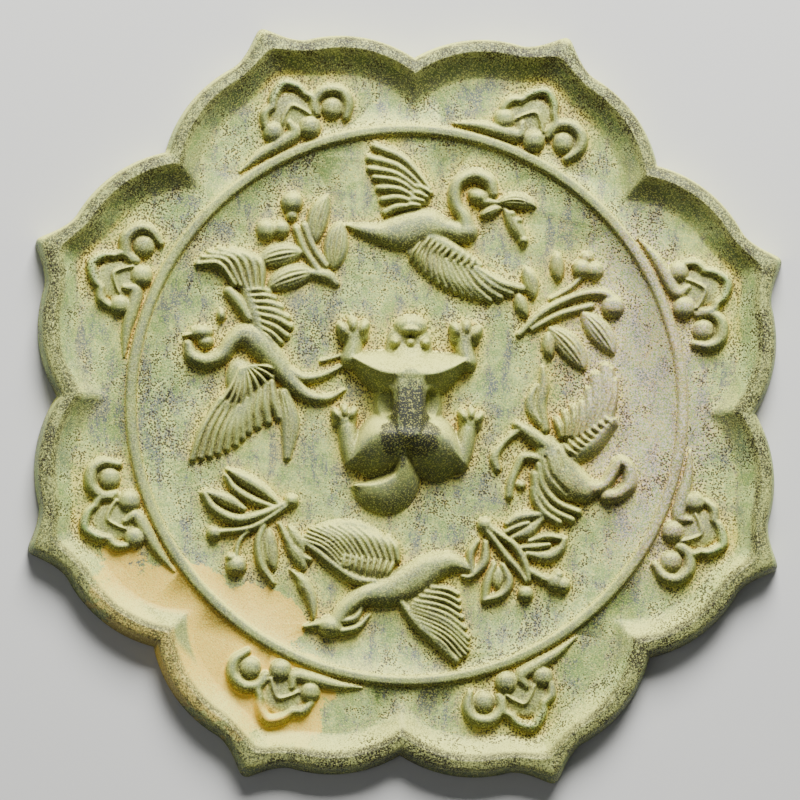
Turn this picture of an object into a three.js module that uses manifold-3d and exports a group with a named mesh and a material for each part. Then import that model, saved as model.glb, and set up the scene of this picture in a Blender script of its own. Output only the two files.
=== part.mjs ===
// An ancient cast bronze mirror with eight pointed lobes, lying on its polished face.
// The back is up: a raised rim, a ring ridge, a crouching beast as the knob, four birds,
// four sprigs of leaves and berries, and one cloud in each lobe.
// Millimetres, +Z up, origin at the middle of the polished face.

import * as THREE from 'three';
import { mergeVertices } from 'three/addons/utils/BufferGeometryUtils.js';
import Module from 'manifold-3d';

const wasm = await Module();
wasm.setup();

// Outline: eight lobes, each with a point in the middle and a notch at each end
const LOBES = 8;
const TIP_RADIUS = 111.4;
const NOTCH_DEPTH = 15.1; // from the circle through the tips in to the notches
const TIP_RISE = 7.6; // how far the point stands out of the lobe's round back
const TIP_FLARE = 10; // half the width of the point's foot
const LOBE_ROUNDNESS = 0.926; // radius of each half lobe as a share of its chord

// Plate and rim
const PLATE_THICKNESS = 3;
const RIM_HEIGHT = 8.5;
const RIM_LIP_WIDTH = 3.4;
const RIM_LIP_DROP = 2; // how far the lip falls from its inner edge to the outer wall
const RIM_SLOPE_WIDTH = 6.8;
const RIM_DRAFT = 1.2; // how far the outer wall leans in from the face to the lip
const EDGE_BEVEL = 0.4;

// Ring ridge between the border and the inner field
const RING_RADIUS = 76;
const RING_WIDTH = 3.4;
const RING_HEIGHT = 1.6;

// Relief
const BIRD_HEIGHT = 3.1;
const SPRIG_HEIGHT = 2.6;
const CLOUD_HEIGHT = 2.5;
const SINK = 0.8; // how far each carved form goes down into the plate it is cast with

// Knob and its cord hole
const KNOB_HEIGHT = 12.4;
const KNOB_LENGTH = 54;
const HOLE_WIDTH = 7.6;
const HOLE_HEIGHT = 6.4;
const HOLE_LIFT = 6; // middle of the hole above the field

// Fineness of the facets
const HALF_LOBE_STEPS = 6;
const TIP_CROWDING = 1.7; // above 1 brings the outline's points closer together at the tip

// Places inside the ring are drawn on a grid where the ring has this radius
const DRAWN_RING_RADIUS = 76;
const FIELD_SCALE = RING_RADIUS / DRAWN_RING_RADIUS;
// The beast is drawn on a grid where it has this length
const DRAWN_BEAST_LENGTH = 54;
const BEAST_SCALE = KNOB_LENGTH / DRAWN_BEAST_LENGTH;
// A cloud is drawn on a grid where the border band has this width
const DRAWN_BAND_WIDTH = 35.4;

const mix = (a, b, t) => a + (b - a) * t;

function smoothstep(edge0, edge1, x) {
  const t = Math.min(Math.max((x - edge0) / (edge1 - edge0), 0), 1);
  return t * t * (3 - 2 * t);
}

// Solids

function toManifold(geometry) {
  geometry.deleteAttribute('normal');
  geometry.deleteAttribute('uv');
  const merged = mergeVertices(geometry, 1e-5);
  const vertProperties = new Float32Array(merged.attributes.position.array);
  const triVerts = new Uint32Array(merged.index.array);
  return new wasm.Manifold(new wasm.Mesh({ numProp: 3, vertProperties, triVerts }));
}

function toGeometry(solid) {
  const { vertProperties, triVerts, numProp } = solid.getMesh();
  const positions = new Float32Array((vertProperties.length / numProp) * 3);
  for (let i = 0; i < positions.length / 3; i += 1) {
    positions.set(vertProperties.subarray(i * numProp, i * numProp + 3), i * 3);
  }
  const geometry = new THREE.BufferGeometry();
  geometry.setAttribute('position', new THREE.BufferAttribute(positions, 3));
  geometry.setIndex(new THREE.BufferAttribute(new Uint32Array(triVerts), 1));
  return geometry;
}

// A closed solid through rings of points, each ring closed and with the same number of points.
// The first and last ring are closed by a fan round their middle.
function loft(rings) {
  const count = rings[0].length;
  const middle = (ring) => ring.reduce((sum, p) => sum.add(p), new THREE.Vector3()).divideScalar(count);
  const points = [...rings.flat(), middle(rings[0]), middle(rings.at(-1))];
  const startMiddle = points.length - 2;
  const endMiddle = points.length - 1;
  const index = [];
  for (let j = 0; j < rings.length - 1; j += 1) {
    for (let i = 0; i < count; i += 1) {
      const a = j * count + i;
      const b = j * count + ((i + 1) % count);
      index.push(a, b, b + count, a, b + count, a + count);
    }
  }
  const lastRing = (rings.length - 1) * count;
  for (let i = 0; i < count; i += 1) {
    const next = (i + 1) % count;
    index.push(startMiddle, next, i);
    index.push(endMiddle, lastRing + i, lastRing + next);
  }
  const geometry = new THREE.BufferGeometry();
  geometry.setAttribute('position', new THREE.Float32BufferAttribute(points.flatMap((p) => p.toArray()), 3));
  geometry.setIndex(index);
  return geometry;
}

function join(solids) {
  return solids.reduce((whole, solid) => whole.add(solid));
}

// The mirror's plate

// Each half lobe is one arc through the lobe's crown on its axis and the notch at its end
const HALF_ANGLE = Math.PI / LOBES;
const crown = new THREE.Vector2(0, TIP_RADIUS - TIP_RISE);
const notch = new THREE.Vector2(Math.sin(HALF_ANGLE), Math.cos(HALF_ANGLE))
  .multiplyScalar(TIP_RADIUS - NOTCH_DEPTH);
const chord = notch.clone().sub(crown);
const lobeRadius = chord.length() * LOBE_ROUNDNESS;
const chordNormal = new THREE.Vector2(-chord.y, chord.x).normalize();
const lobeCentre = crown.clone().add(notch).multiplyScalar(0.5)
  .addScaledVector(chordNormal, -Math.sqrt(lobeRadius ** 2 - (chord.length() / 2) ** 2));

// Angle at the arc's centre where an arc of the given radius meets the ray at the notch
function notchAngle(radius) {
  const ray = notch.clone().normalize();
  const along = lobeCentre.dot(ray);
  const aside = lobeCentre.length() ** 2 - along ** 2;
  const reach = along + Math.sqrt(radius ** 2 - aside);
  const point = ray.multiplyScalar(reach).sub(lobeCentre);
  return Math.atan2(point.x, point.y);
}

// Point of a half lobe, drawn inside the outline by the inset; share runs from tip to notch
function halfLobePoint(inset, share) {
  const radius = lobeRadius - inset;
  const angle = mix(Math.asin(-lobeCentre.x / radius), notchAngle(radius), share ** TIP_CROWDING);
  const x = lobeCentre.x + radius * Math.sin(angle);
  const flat = smoothstep(0, RIM_LIP_WIDTH, inset);
  const rise = mix(TIP_RISE, TIP_RISE * 0.65, flat);
  const flare = TIP_FLARE + inset * 0.2;
  const point = rise * Math.max(1 - x / flare, 0) ** 1.8;
  const y = lobeCentre.y + radius * Math.cos(angle) + point;
  return new THREE.Vector2(x, y);
}

// Closed ring of points; shape gives the point of one half lobe in the lobe's own frame
function lobedRing(shape, z) {
  const ring = [];
  for (let lobe = 0; lobe < LOBES; lobe += 1) {
    const turn = (2 * lobe + 1) * HALF_ANGLE;
    for (let i = -HALF_LOBE_STEPS; i < HALF_LOBE_STEPS; i += 1) {
      const p = shape(Math.abs(i) / HALF_LOBE_STEPS);
      const bearing = turn + Math.sign(i) * Math.atan2(p.x, p.y);
      ring.push(new THREE.Vector3(p.length() * Math.cos(bearing), p.length() * Math.sin(bearing), z));
    }
  }
  return ring;
}

const insetRing = (inset, z) => lobedRing((share) => halfLobePoint(inset, share), z);

function roundRing(radius, z) {
  const bearing = (share) => {
    const p = halfLobePoint(0, share);
    return Math.atan2(p.x, p.y);
  };
  const point = (share) => new THREE.Vector2(Math.sin(bearing(share)), Math.cos(bearing(share)));
  return lobedRing((share) => point(share).multiplyScalar(radius), z);
}

function buildPlate() {
  const lipEnd = RIM_DRAFT + RIM_LIP_WIDTH;
  const foot = lipEnd + RIM_SLOPE_WIDTH;
  const slopeTop = RIM_HEIGHT - 0.2;
  const slopeZ = (share) => PLATE_THICKNESS + (slopeTop - PLATE_THICKNESS) * (1 - share) ** 1.35;
  const slopeRing = (share) => insetRing(mix(lipEnd, foot, share), slopeZ(share));
  const crest = RING_WIDTH * 0.18;
  return toManifold(loft([
    insetRing(EDGE_BEVEL, 0),
    insetRing(0, EDGE_BEVEL),
    insetRing(RIM_DRAFT, RIM_HEIGHT - RIM_LIP_DROP),
    insetRing(RIM_DRAFT + RIM_LIP_WIDTH * 0.4, RIM_HEIGHT - RIM_LIP_DROP * 0.3),
    insetRing(RIM_DRAFT + RIM_LIP_WIDTH * 0.88, RIM_HEIGHT),
    slopeRing(0),
    slopeRing(0.5),
    slopeRing(1),
    roundRing(RING_RADIUS + RING_WIDTH / 2, PLATE_THICKNESS),
    roundRing(RING_RADIUS + crest, PLATE_THICKNESS + RING_HEIGHT),
    roundRing(RING_RADIUS - crest, PLATE_THICKNESS + RING_HEIGHT),
    roundRing(RING_RADIUS - RING_WIDTH / 2, PLATE_THICKNESS),
  ]));
}

// Carving
// Every form stands on the field and goes a little way into the plate.
// A place object says where a drawing grid lies on the mirror and how tall its relief is.

function carvePoint(place, x, y) {
  const radius = Math.hypot(x, y) * place.scale + place.outward;
  const bearing = Math.atan2(y, x) + place.turn;
  return new THREE.Vector2(Math.cos(bearing), Math.sin(bearing)).multiplyScalar(radius);
}

// Across a form from edge to edge: share of the half width, share of the height
const SECTIONS = {
  feather: [[-1, 0], [0, 1], [1, 0]],
  rib: [[-1, 0], [-0.42, 0.95], [0.42, 0.95], [1, 0]],
  round: [[-1, 0], [-0.62, 0.74], [0, 1], [0.62, 0.74], [1, 0]],
  spine: [[-1, 0], [-0.8, 0.17], [-0.34, 0.95], [0, 1], [0.34, 0.95], [0.8, 0.17], [1, 0]],
  tail: [[-1, 0], [-0.5, 1], [0.4, 0.72], [1, 0]],
};

// A form swept along a smooth path of [x, y, half width, height share] stations
function stroke(place, stations, section = 'rib', steps = stations.length - 1) {
  const curve = new THREE.CatmullRomCurve3(stations.map(([x, y]) => new THREE.Vector3(x, y, 0)));
  const at = (t, item) => {
    const place1 = t * (stations.length - 1);
    const k = Math.min(Math.floor(place1), stations.length - 2);
    return mix(stations[k][item], stations[k + 1][item], place1 - k);
  };
  const rings = [];
  for (let s = 0; s <= steps; s += 1) {
    const t = s / steps;
    const middle = curve.getPoint(t);
    const ahead = curve.getTangent(t);
    const halfWidth = at(t, 2);
    const height = at(t, 3) * place.relief;
    const ring = SECTIONS[section].map(([across, up], i, all) => {
      const spread = i === 0 || i === all.length - 1 ? 1.12 : 1;
      const p = carvePoint(place, middle.x + ahead.y * across * halfWidth * spread,
        middle.y - ahead.x * across * halfWidth * spread);
      const z = up === 0 ? -SINK : up * height;
      return new THREE.Vector3(p.x, p.y, PLATE_THICKNESS + z);
    });
    rings.push(ring);
  }
  return toManifold(loft(rings));
}

// A crest across the middle line, alike on both sides, with a slope up the grid and one down it.
// A station is [distance from the middle, y of the crest, height share, y of both feet].
function roof(place, stations) {
  const across = [...stations.slice(1).reverse().map(([x, ...rest]) => [-x, ...rest]), ...stations];
  const halfway = 0.63; // share of the height halfway down each slope
  return toManifold(loft(across.map(([x, crest, up, above, below]) => [
    [above, 0], [mix(crest, above, 0.5), halfway], [crest, 1], [mix(crest, below, 0.5), halfway], [below, 0],
  ].map(([y, share]) => {
    const p = carvePoint(place, x, y);
    const z = share === 0 ? -SINK : share * up * place.relief;
    return new THREE.Vector3(p.x, p.y, PLATE_THICKNESS + z);
  }))));
}

// A rounded boss: an oval of half lengths rx and ry, turned by the angle in degrees
function dome(place, x, y, rx, ry, height, angle = 0, sides = 6) {
  const geometry = new THREE.SphereGeometry(1, sides, 4);
  geometry.rotateX(Math.PI / 2);
  const turn = THREE.MathUtils.degToRad(angle);
  const position = geometry.attributes.position;
  for (let i = 0; i < position.count; i += 1) {
    const across = position.getX(i) * rx;
    const along = position.getY(i) * ry;
    const p = carvePoint(place, x + across * Math.cos(turn) - along * Math.sin(turn),
      y + across * Math.sin(turn) + along * Math.cos(turn));
    const up = position.getZ(i);
    position.setXYZ(i, p.x, p.y, PLATE_THICKNESS + (up > 0 ? up * height * place.relief : up * SINK));
  }
  return toManifold(geometry);
}

const lerpPoint = (a, b, t) => [mix(a[0], b[0], t), mix(a[1], b[1], t)];

function alongLine(points, t) {
  const place = t * (points.length - 1);
  const k = Math.min(Math.floor(place), points.length - 2);
  return lerpPoint(points[k], points[k + 1], place - k);
}

// A spray of feathers from a line of roots to a line of tips, each bowed to one side
function feathers(place, { roots, tips, count, width, bow = 0, height = 1 }) {
  const solids = [];
  for (let i = 0; i < count; i += 1) {
    const t = i / (count - 1);
    const root = alongLine(roots, t);
    const tip = alongLine(tips, t);
    const middle = lerpPoint(root, tip, 0.55);
    middle[0] -= (tip[1] - root[1]) * bow;
    middle[1] += (tip[0] - root[0]) * bow;
    solids.push(stroke(place, [
      [...root, width * 0.8, height * 0.85],
      [...middle, width, height],
      [...tip, width * 0.35, height * 0.5],
    ], 'feather'));
  }
  return solids;
}

// A leaf from stalk to point: a swelling blade, bowed to one side
function leaf(place, stalk, point, width, bow = 0, height = 1) {
  const middle = lerpPoint(stalk, point, 0.45);
  middle[0] -= (point[1] - stalk[1]) * bow;
  middle[1] += (point[0] - stalk[0]) * bow;
  return stroke(place, [
    [...stalk, width * 0.3, height * 0.5],
    [...middle, width, height],
    [...point, width * 0.15, height * 0.45],
  ], 'feather');
}

const berry = (place, x, y, r, height = 1) => dome(place, x, y, r, r, height);

// The crouching beast that is the knob
function buildBeast() {
  const place = { scale: BEAST_SCALE, outward: 0, turn: 0, relief: KNOB_HEIGHT };
  const waist = stroke(place, [[0, 13, 8, 0.6], [0, 8.6, 10.2, 0.98], [0, 2, 10.2, 1], [0, -4, 10.2, 0.98],
    [0, -9, 10.2, 0.95], [0, -13, 7, 0.7]], 'spine');
  const shoulders = roof(place, [[0, 9, 0.97, 15.6, -2], [6, 9.2, 0.88, 15, 1.4], [9, 9.8, 0.77, 14.6, 2.8],
    [12, 10.8, 0.63, 14.4, 5.4], [15, 12, 0.47, 14.8, 8.8], [18, 13.1, 0.15, 14.8, 11.6]]);
  const haunches = roof(place, [[0, -9, 0.95, -2, -20.4], [4, -9, 0.92, -1.6, -20.6],
    [7.5, -9.2, 0.85, -2.4, -21.3], [10, -10.2, 0.75, -3.4, -21.2], [12.5, -12.4, 0.61, -6, -19.6],
    [14.6, -15, 0.44, -9.6, -17.8], [16.8, -16.6, 0.15, -15, -17.4]]);
  const tail = stroke(place, [[-0.8, -14, 2.6, 0.64], [0.2, -19, 3.6, 0.54], [-2.4, -23.6, 4.6, 0.46],
    [-7.2, -24.8, 4.8, 0.42], [-12.6, -24.6, 1.6, 0.26]], 'tail', 6);
  const solids = [waist, shoulders, haunches, tail,
    dome(place, 0, 15.4, 7, 5, 0.42, 0, 8),
    dome(place, 0.3, 21, 4.6, 3.6, 0.46, 0, 10),
    dome(place, 0.3, 20, 3.3, 2, 0.6, 0, 8),
  ];
  for (const x of [-3.9, 0.2, 4.2]) {
    solids.push(dome(place, x, 16.6, 1.7, 1.9, 0.54));
  }
  for (const side of [-1, 1]) {
    solids.push(
      stroke(place, [[side * 16, 12, 2.8, 0.42], [side * 15.3, 15.5, 2.6, 0.36],
        [side * 15.2, 19, 2.6, 0.32]], 'rib'),
      stroke(place, [[side * 14.2, -15.6, 3, 0.38], [side * 15.4, -11.6, 3, 0.33],
        [side * 16.6, -6, 2.6, 0.3]], 'rib'),
      dome(place, side * 15.3, 18.8, 4.2, 3.4, 0.33),
      dome(place, side * 17.2, -4.6, 3.4, 3, 0.28),
    );
    for (const [dx, dy, lean] of [[2.9, -0.6, -30], [0.3, 0.7, -4], [-2.5, 0, 24]]) {
      solids.push(
        dome(place, side * (15.3 + dx), 20.4 + dy, 1.7, 2.6, 0.4, side * lean),
        dome(place, side * (17.2 + dx * 0.75), -3.2 + dy * 0.8, 1.3, 2.2, 0.35, side * lean),
      );
    }
  }
  return join(solids);
}

function buildCordHole() {
  const hole = new THREE.CylinderGeometry(0.5, 0.5, KNOB_LENGTH, 20);
  hole.rotateZ(Math.PI / 2);
  hole.scale(1, HOLE_WIDTH, HOLE_HEIGHT);
  hole.translate(0, 0, PLATE_THICKNESS + HOLE_LIFT);
  return toManifold(hole);
}

const birdPlace = { scale: FIELD_SCALE, outward: 0, turn: 0, relief: BIRD_HEIGHT };
const sprigPlace = { scale: FIELD_SCALE, outward: 0, turn: 0, relief: SPRIG_HEIGHT };

// The crane above the knob, flying to the right with a sprig in its beak
function buildTopBird() {
  const place = birdPlace;
  return [
    stroke(place, [[-18.5, 49.6, 0.6, 0.4], [-12, 48.2, 2.6, 0.85], [-3, 48.3, 5, 1.1],
      [4, 49.4, 5, 1.1], [9, 49, 3.4, 1]], 'round', 5),
    stroke(place, [[8, 49.6, 3, 1], [14, 48.4, 2.6, 1.1], [15.4, 52, 2.4, 1.1], [11.6, 56.5, 2.1, 1.05],
      [11.2, 61.5, 2, 1.05], [15.5, 64.6, 1.9, 1], [20, 62.4, 1.8, 1]], 'rib', 7),
    dome(place, 17.6, 59, 3.6, 2.6, 1.25),
    stroke(place, [[19, 57.8, 1.4, 1], [24.5, 56.2, 0.5, 0.5]], 'feather', 1),
    stroke(place, [[17.6, 53.4, 0.8, 0.7], [21, 54.6, 1.2, 0.8], [24.6, 55, 0.4, 0.4]], 'feather'),
    leaf(place, [24.4, 56.8], [33.2, 57], 1.7, 0.14, 0.8),
    leaf(place, [24.6, 54.8], [29.4, 48], 1.3, 0.06, 0.75),
    berry(place, 29.8, 46.4, 1.6, 0.75),
    ...feathers(place, { roots: [[3.4, 61], [-0.5, 55.2]], tips: [[-12.2, 70.8], [-13.2, 66], [-9.8, 58.8],
      [-7.4, 53.4]], count: 5, width: 1.4, bow: -0.12, height: 0.85 }),
    stroke(place, [[0.4, 42.8, 2.4, 0.6], [6, 40.6, 4.4, 0.7], [14, 37, 4.6, 0.7], [22, 34.6, 3.4, 0.6],
      [29.6, 33.4, 1, 0.3]]),
    stroke(place, [[5, 47, 1.6, 0.9], [11, 44.6, 2, 0.95], [17, 41.6, 1.6, 0.8],
      [22, 38, 0.8, 0.5]], 'feather'),
    ...feathers(place, { roots: [[3.4, 44.6], [12, 39.6]], tips: [[0.6, 40.6], [12.6, 33.4]], count: 4,
      width: 1.3, bow: -0.1, height: 0.9 }),
    ...feathers(place, { roots: [[13, 40], [18, 38.6]], tips: [[17.4, 31.8], [24, 31.6], [30, 33]],
      count: 3, width: 1.5, bow: -0.06, height: 0.95 }),
  ];
}

// The bird to the left of the knob, with a looped neck and two raised wings
function buildLeftBird() {
  const place = birdPlace;
  return [
    dome(place, -56.6, 16.6, 3, 2.3, 1.1),
    stroke(place, [[-56.5, 17.4, 1.4, 0.9], [-62, 16.4, 0.4, 0.4]], 'feather', 1),
    stroke(place, [[-56.5, 14, 1.2, 0.8], [-61.6, 14.4, 0.4, 0.35]], 'feather', 1),
    stroke(place, [[-59.4, 13.6, 1.5, 0.8], [-59, 10.8, 1.9, 1], [-55, 9.6, 2.2, 1.05],
      [-50.4, 11.6, 2.3, 1.1], [-48.4, 16, 2.2, 1.15], [-45.4, 18.8, 2.6, 1.15], [-40, 15, 3.4, 1.15],
      [-35, 8, 3, 1.1], [-30, 2.2, 2.2, 0.9], [-25, 1, 1.4, 0.7], [-18.4, 4, 0.6, 0.4]], 'rib', 10),
    stroke(place, [[-34, 9.4, 1.4, 0.7], [-28.6, 7.2, 1.4, 0.7], [-18, 10.6, 0.9, 0.5]], 'feather', 3),
    ...feathers(place, { roots: [[-41.4, 29], [-45.6, 28.4]], tips: [[-52.6, 40], [-56, 38.6], [-59, 36.4]],
      count: 4, width: 1.5, bow: -0.24, height: 0.95 }),
    stroke(place, [[-50.6, 29, 0.9, 0.7], [-47.4, 26.2, 1.3, 0.9], [-44.4, 21.6, 1, 0.8]], 'feather'),
    ...feathers(place, { roots: [[-44.6, 27.6], [-42, 19]], tips: [[-38.6, 29.4], [-33.6, 22.6],
      [-34.8, 15.6]], count: 5, width: 1.5, bow: 0.1, height: 0.95 }),
    stroke(place, [[-46, 10.6, 2, 0.7], [-46.6, 4, 5, 0.75], [-49, -4, 5.4, 0.7], [-53, -11, 3.6, 0.6],
      [-58.4, -17.4, 0.8, 0.3]]),
    stroke(place, [[-41.6, 8, 2.2, 0.7], [-39.6, 2, 4.4, 0.7], [-39.4, -4.4, 3.8, 0.6]]),
    ...feathers(place, { roots: [[-42.8, 9.6], [-46.8, 9]], tips: [[-36.4, 7.4], [-39.6, 1.4], [-45, -2.4],
      [-52, -4.4]], count: 4, width: 1.7, bow: 0.08, height: 1.02 }),
    ...feathers(place, { roots: [[-39, 4], [-48.4, -3]], tips: [[-35, 0], [-36.6, -6], [-44.4, -9.6],
      [-52, -15.2], [-58, -17.2]], count: 5, width: 1.6, bow: 0.06, height: 0.86 }),
    stroke(place, [[-34.6, 1.6, 1.6, 0.8], [-32.8, -6, 2.5, 0.85], [-32.6, -15.6, 1, 0.5]], 'rib', 3),
  ];
}

// The bird below the knob, flying to the left
function buildBottomBird() {
  const place = birdPlace;
  return [
    dome(place, -19.4, -61.2, 3.6, 2.5, 1.2),
    stroke(place, [[-22.4, -61, 1.4, 0.9], [-27.6, -62, 0.5, 0.4]], 'feather', 1),
    stroke(place, [[-17.4, -60.4, 1.2, 0.9], [-13.4, -59.6, 1.1, 0.8], [-11.8, -56.6, 0.6, 0.5]], 'feather'),
    stroke(place, [[-16.6, -62.4, 1.1, 0.8], [-13, -61.4, 0.9, 0.7], [-11, -59, 0.5, 0.4]], 'feather'),
    stroke(place, [[-18.6, -59.8, 1.9, 1], [-15, -55.8, 2.2, 1.1], [-10, -51.6, 2.7, 1.15],
      [-4, -50.2, 4, 1.15], [2, -48.4, 4.8, 1.2], [8, -44.8, 3.6, 1.1], [13.4, -44, 2.2, 0.9],
      [17.6, -45.2, 0.8, 0.4]], 'rib', 8),
    stroke(place, [[-26.8, -37.8, 0.9, 0.4], [-19, -38.4, 3.4, 0.7], [-11, -40.4, 5.2, 0.8],
      [-3, -42.6, 4, 0.7]]),
    ...feathers(place, { roots: [[-15.4, -44.4], [-9, -42.6], [-2, -41.6]], tips: [[-27.2, -37.6],
      [-22, -34.2], [-9, -35]], count: 5, width: 1.4, bow: 0.08, height: 0.95 }),
    ...feathers(place, { roots: [[-15.6, -42], [-3.4, -42.4]], tips: [[-15, -46.4], [-5, -47.2]], count: 4,
      width: 1.3, bow: 0, height: 1 }),
    stroke(place, [[-1.6, -55, 2, 0.6], [4, -57, 5, 0.7], [10, -62, 4, 0.6], [13.4, -69, 0.8, 0.3]]),
    ...feathers(place, { roots: [[4.6, -51.4], [0.6, -57], [1.6, -60]], tips: [[10, -51], [12, -57],
      [14.8, -64], [13.6, -69.4]], count: 5, width: 1.4, bow: 0.05, height: 0.95 }),
    leaf(place, [-24, -59.4], [-30.2, -44.6], 1.2, -0.1, 0.7),
    leaf(place, [-27.4, -56.4], [-24.4, -50.2], 1.5, 0.1, 0.7),
  ];
}

// The bird to the right of the knob, with its neck turned down and its wings up
function buildRightBird() {
  const place = birdPlace;
  return [
    stroke(place, [[40.4, -8, 3, 1], [41.6, -13.4, 4.6, 1.2], [45, -19, 4.8, 1.2], [50, -21.4, 3, 1.1],
      [54.4, -19.4, 2, 1], [56.8, -15.4, 1.8, 1], [58.6, -11.6, 1.8, 1], [61, -14.4, 1.7, 1],
      [60.6, -18.6, 2, 1.05]], 'rib', 9),
    dome(place, 58.4, -20.8, 3, 2.5, 1.15, 35),
    stroke(place, [[57, -22, 1.4, 0.8], [53.6, -22.6, 0.5, 0.4]], 'feather', 1),
    stroke(place, [[43.6, -8.6, 2, 0.7], [48.6, -4, 5, 0.8], [53, 2, 4.4, 0.75], [54.6, 11.4, 1.6, 0.4]]),
    ...feathers(place, { roots: [[41.6, -7], [46, -6], [53, -6]], tips: [[40.4, -1.6], [45, 1], [50, 6.4],
      [53.4, 13], [56.6, 8]], count: 5, width: 1.6, bow: -0.05, height: 1 }),
    ...feathers(place, { roots: [[44, -10.6], [52, -7.4], [56, -3]], tips: [[43, -6.6], [49, -3.6],
      [53.6, -0.6]], count: 3, width: 1.6, bow: 0, height: 1.1 }),
    ...feathers(place, { roots: [[36.4, -4.6], [40, -4.4]], tips: [[33.2, 2], [34.6, 7.6], [37.2, 12],
      [38.8, 6]], count: 3, width: 1.6, bow: 0.06, height: 0.9 }),
    stroke(place, [[30.4, -5.8, 1.8, 0.9], [34.4, -7.8, 2.3, 1], [38.4, -9.4, 2.2, 1]], 'rib', 1),
    stroke(place, [[31, -6.6, 1, 0.7], [28.2, -8, 1, 0.6], [26, -12, 1.1, 0.6],
      [24.4, -15.8, 0.8, 0.4]], 'feather'),
    stroke(place, [[36.6, -14.4, 1.3, 0.8], [32.6, -13.2, 1.3, 0.8], [30.6, -17.4, 1.2, 0.7],
      [28.6, -24, 0.8, 0.4]], 'feather'),
    ...feathers(place, { roots: [[35.6, -15.4], [38.6, -17]], tips: [[41, -31.6], [46, -31.2], [48, -27.4]],
      count: 3, width: 1.5, bow: 0.14, height: 0.95 }),
  ];
}

// Two stems side by side through a bow, from foot to head
function stems(place, points, gap, width) {
  return [-1, 1].map((side) => stroke(place, points.map(([x, y], i) => {
    const before = points[Math.max(i - 1, 0)];
    const after = points[Math.min(i + 1, points.length - 1)];
    const length = Math.hypot(after[0] - before[0], after[1] - before[1]);
    const aside = (side * gap) / length;
    return [x - aside * (after[1] - before[1]), y + aside * (after[0] - before[0]), width, 0.75];
  }), 'feather'));
}

function buildSprigs() {
  const place = sprigPlace;
  return [
    // Upper left
    ...stems(place, [[-24.4, 37], [-28, 42], [-30.6, 48]], 1.2, 1.2),
    leaf(place, [-26.2, 44.6], [-23.2, 57], 2.7, 0.16),
    leaf(place, [-21.2, 37.4], [-19.6, 49.6], 3.1, 0.04),
    leaf(place, [-30.4, 41], [-42, 38], 3, -0.12),
    leaf(place, [-27, 35.6], [-39.2, 31], 3, -0.14),
    stroke(place, [[-27, 35.4, 1.4, 0.8], [-23, 34.8, 1.9, 0.9], [-20.4, 32.8, 1.2, 0.6]], 'feather'),
    berry(place, -33, 54.8, 2.7, 1.2),
    berry(place, -39.8, 47, 2.6, 1.1),
    berry(place, -35.8, 47.4, 2.2, 1),
    // Upper right
    stroke(place, [[30.4, 20, 1, 0.6], [37, 26.4, 1.3, 0.8], [46, 31, 1.3, 0.9], [53, 32, 1.5, 0.9],
      [57.6, 29.4, 1.3, 0.8]], 'feather', 5),
    stroke(place, [[34, 21.6, 1, 0.6], [41, 25.6, 1.2, 0.8], [50, 28.4, 1.2, 0.7]], 'feather', 3),
    berry(place, 56, 28.4, 2.9, 1.1),
    leaf(place, [48, 26], [56.4, 15.4], 3, 0.1),
    leaf(place, [39, 21.6], [48.4, 10.8], 3.1, 0.14),
    leaf(place, [38.4, 20.6], [39.2, 13.6], 1.7, -0.1),
    leaf(place, [41, 35.4], [40.4, 43], 1.8, 0.05),
    leaf(place, [34, 30.4], [31.6, 38.6], 2, -0.08),
    leaf(place, [32.2, 25.2], [29.8, 31.4], 1.7, 0.1),
    berry(place, 47.4, 38.6, 2.5, 1.1),
    berry(place, 50.8, 38.2, 2.3, 1),
    berry(place, 48.6, 41.6, 1.7, 0.8),
    stroke(place, [[39, 30, 0.8, 0.5], [44, 33, 0.9, 0.6], [47, 36, 0.9, 0.7]], 'feather'),
    // Lower left
    ...stems(place, [[-31.4, -28.6], [-37, -33], [-44, -37]], 1.1, 1.1),
    stroke(place, [[-44, -36.6, 1, 0.7], [-51, -38.2, 1, 0.6]], 'feather', 1),
    stroke(place, [[-43.6, -38, 1, 0.7], [-45.4, -44.6, 1, 0.6]], 'feather', 1),
    berry(place, -30.6, -27.8, 1.8, 0.9),
    berry(place, -51.8, -38.6, 2, 0.9),
    berry(place, -45.6, -47.4, 3, 1.1),
    leaf(place, [-35.4, -28.4], [-49, -20.4], 2.5, 0.12),
    leaf(place, [-38, -29.6], [-48.8, -24.4], 1.7, -0.06),
    leaf(place, [-41, -31.6], [-55.2, -26.6], 2.6, 0.14),
    leaf(place, [-42, -34], [-54, -30.8], 1.8, -0.08),
    leaf(place, [-38.4, -36.2], [-35.2, -50.4], 2.6, 0.1),
    leaf(place, [-32, -35.6], [-25.6, -44], 2, 0.08),
    // Lower right
    ...stems(place, [[24, -34], [29.4, -38], [33.8, -44.6]], 1.3, 1.1),
    stroke(place, [[34, -44, 1, 0.7], [34.4, -49.6, 0.9, 0.6]], 'feather', 1),
    stroke(place, [[35.4, -44, 1.1, 0.7], [41, -47, 1.1, 0.7]], 'feather', 1),
    berry(place, 22, -32.4, 2.1, 0.9),
    berry(place, 34.4, -51, 2.1, 0.9),
    berry(place, 41.4, -47.4, 2.3, 1),
    berry(place, 44.8, -47.2, 2.3, 1),
    leaf(place, [28, -34.4], [38.6, -29.2], 2.8, 0.1),
    leaf(place, [34, -38.4], [45.4, -34.6], 2.9, 0.02),
    leaf(place, [39.6, -30.6], [47.6, -31], 1.9, 0),
    leaf(place, [23.8, -36.6], [19, -48.2], 3, 0.06),
    leaf(place, [28, -41], [24.8, -53.6], 3, 0.06),
  ];
}

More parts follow.
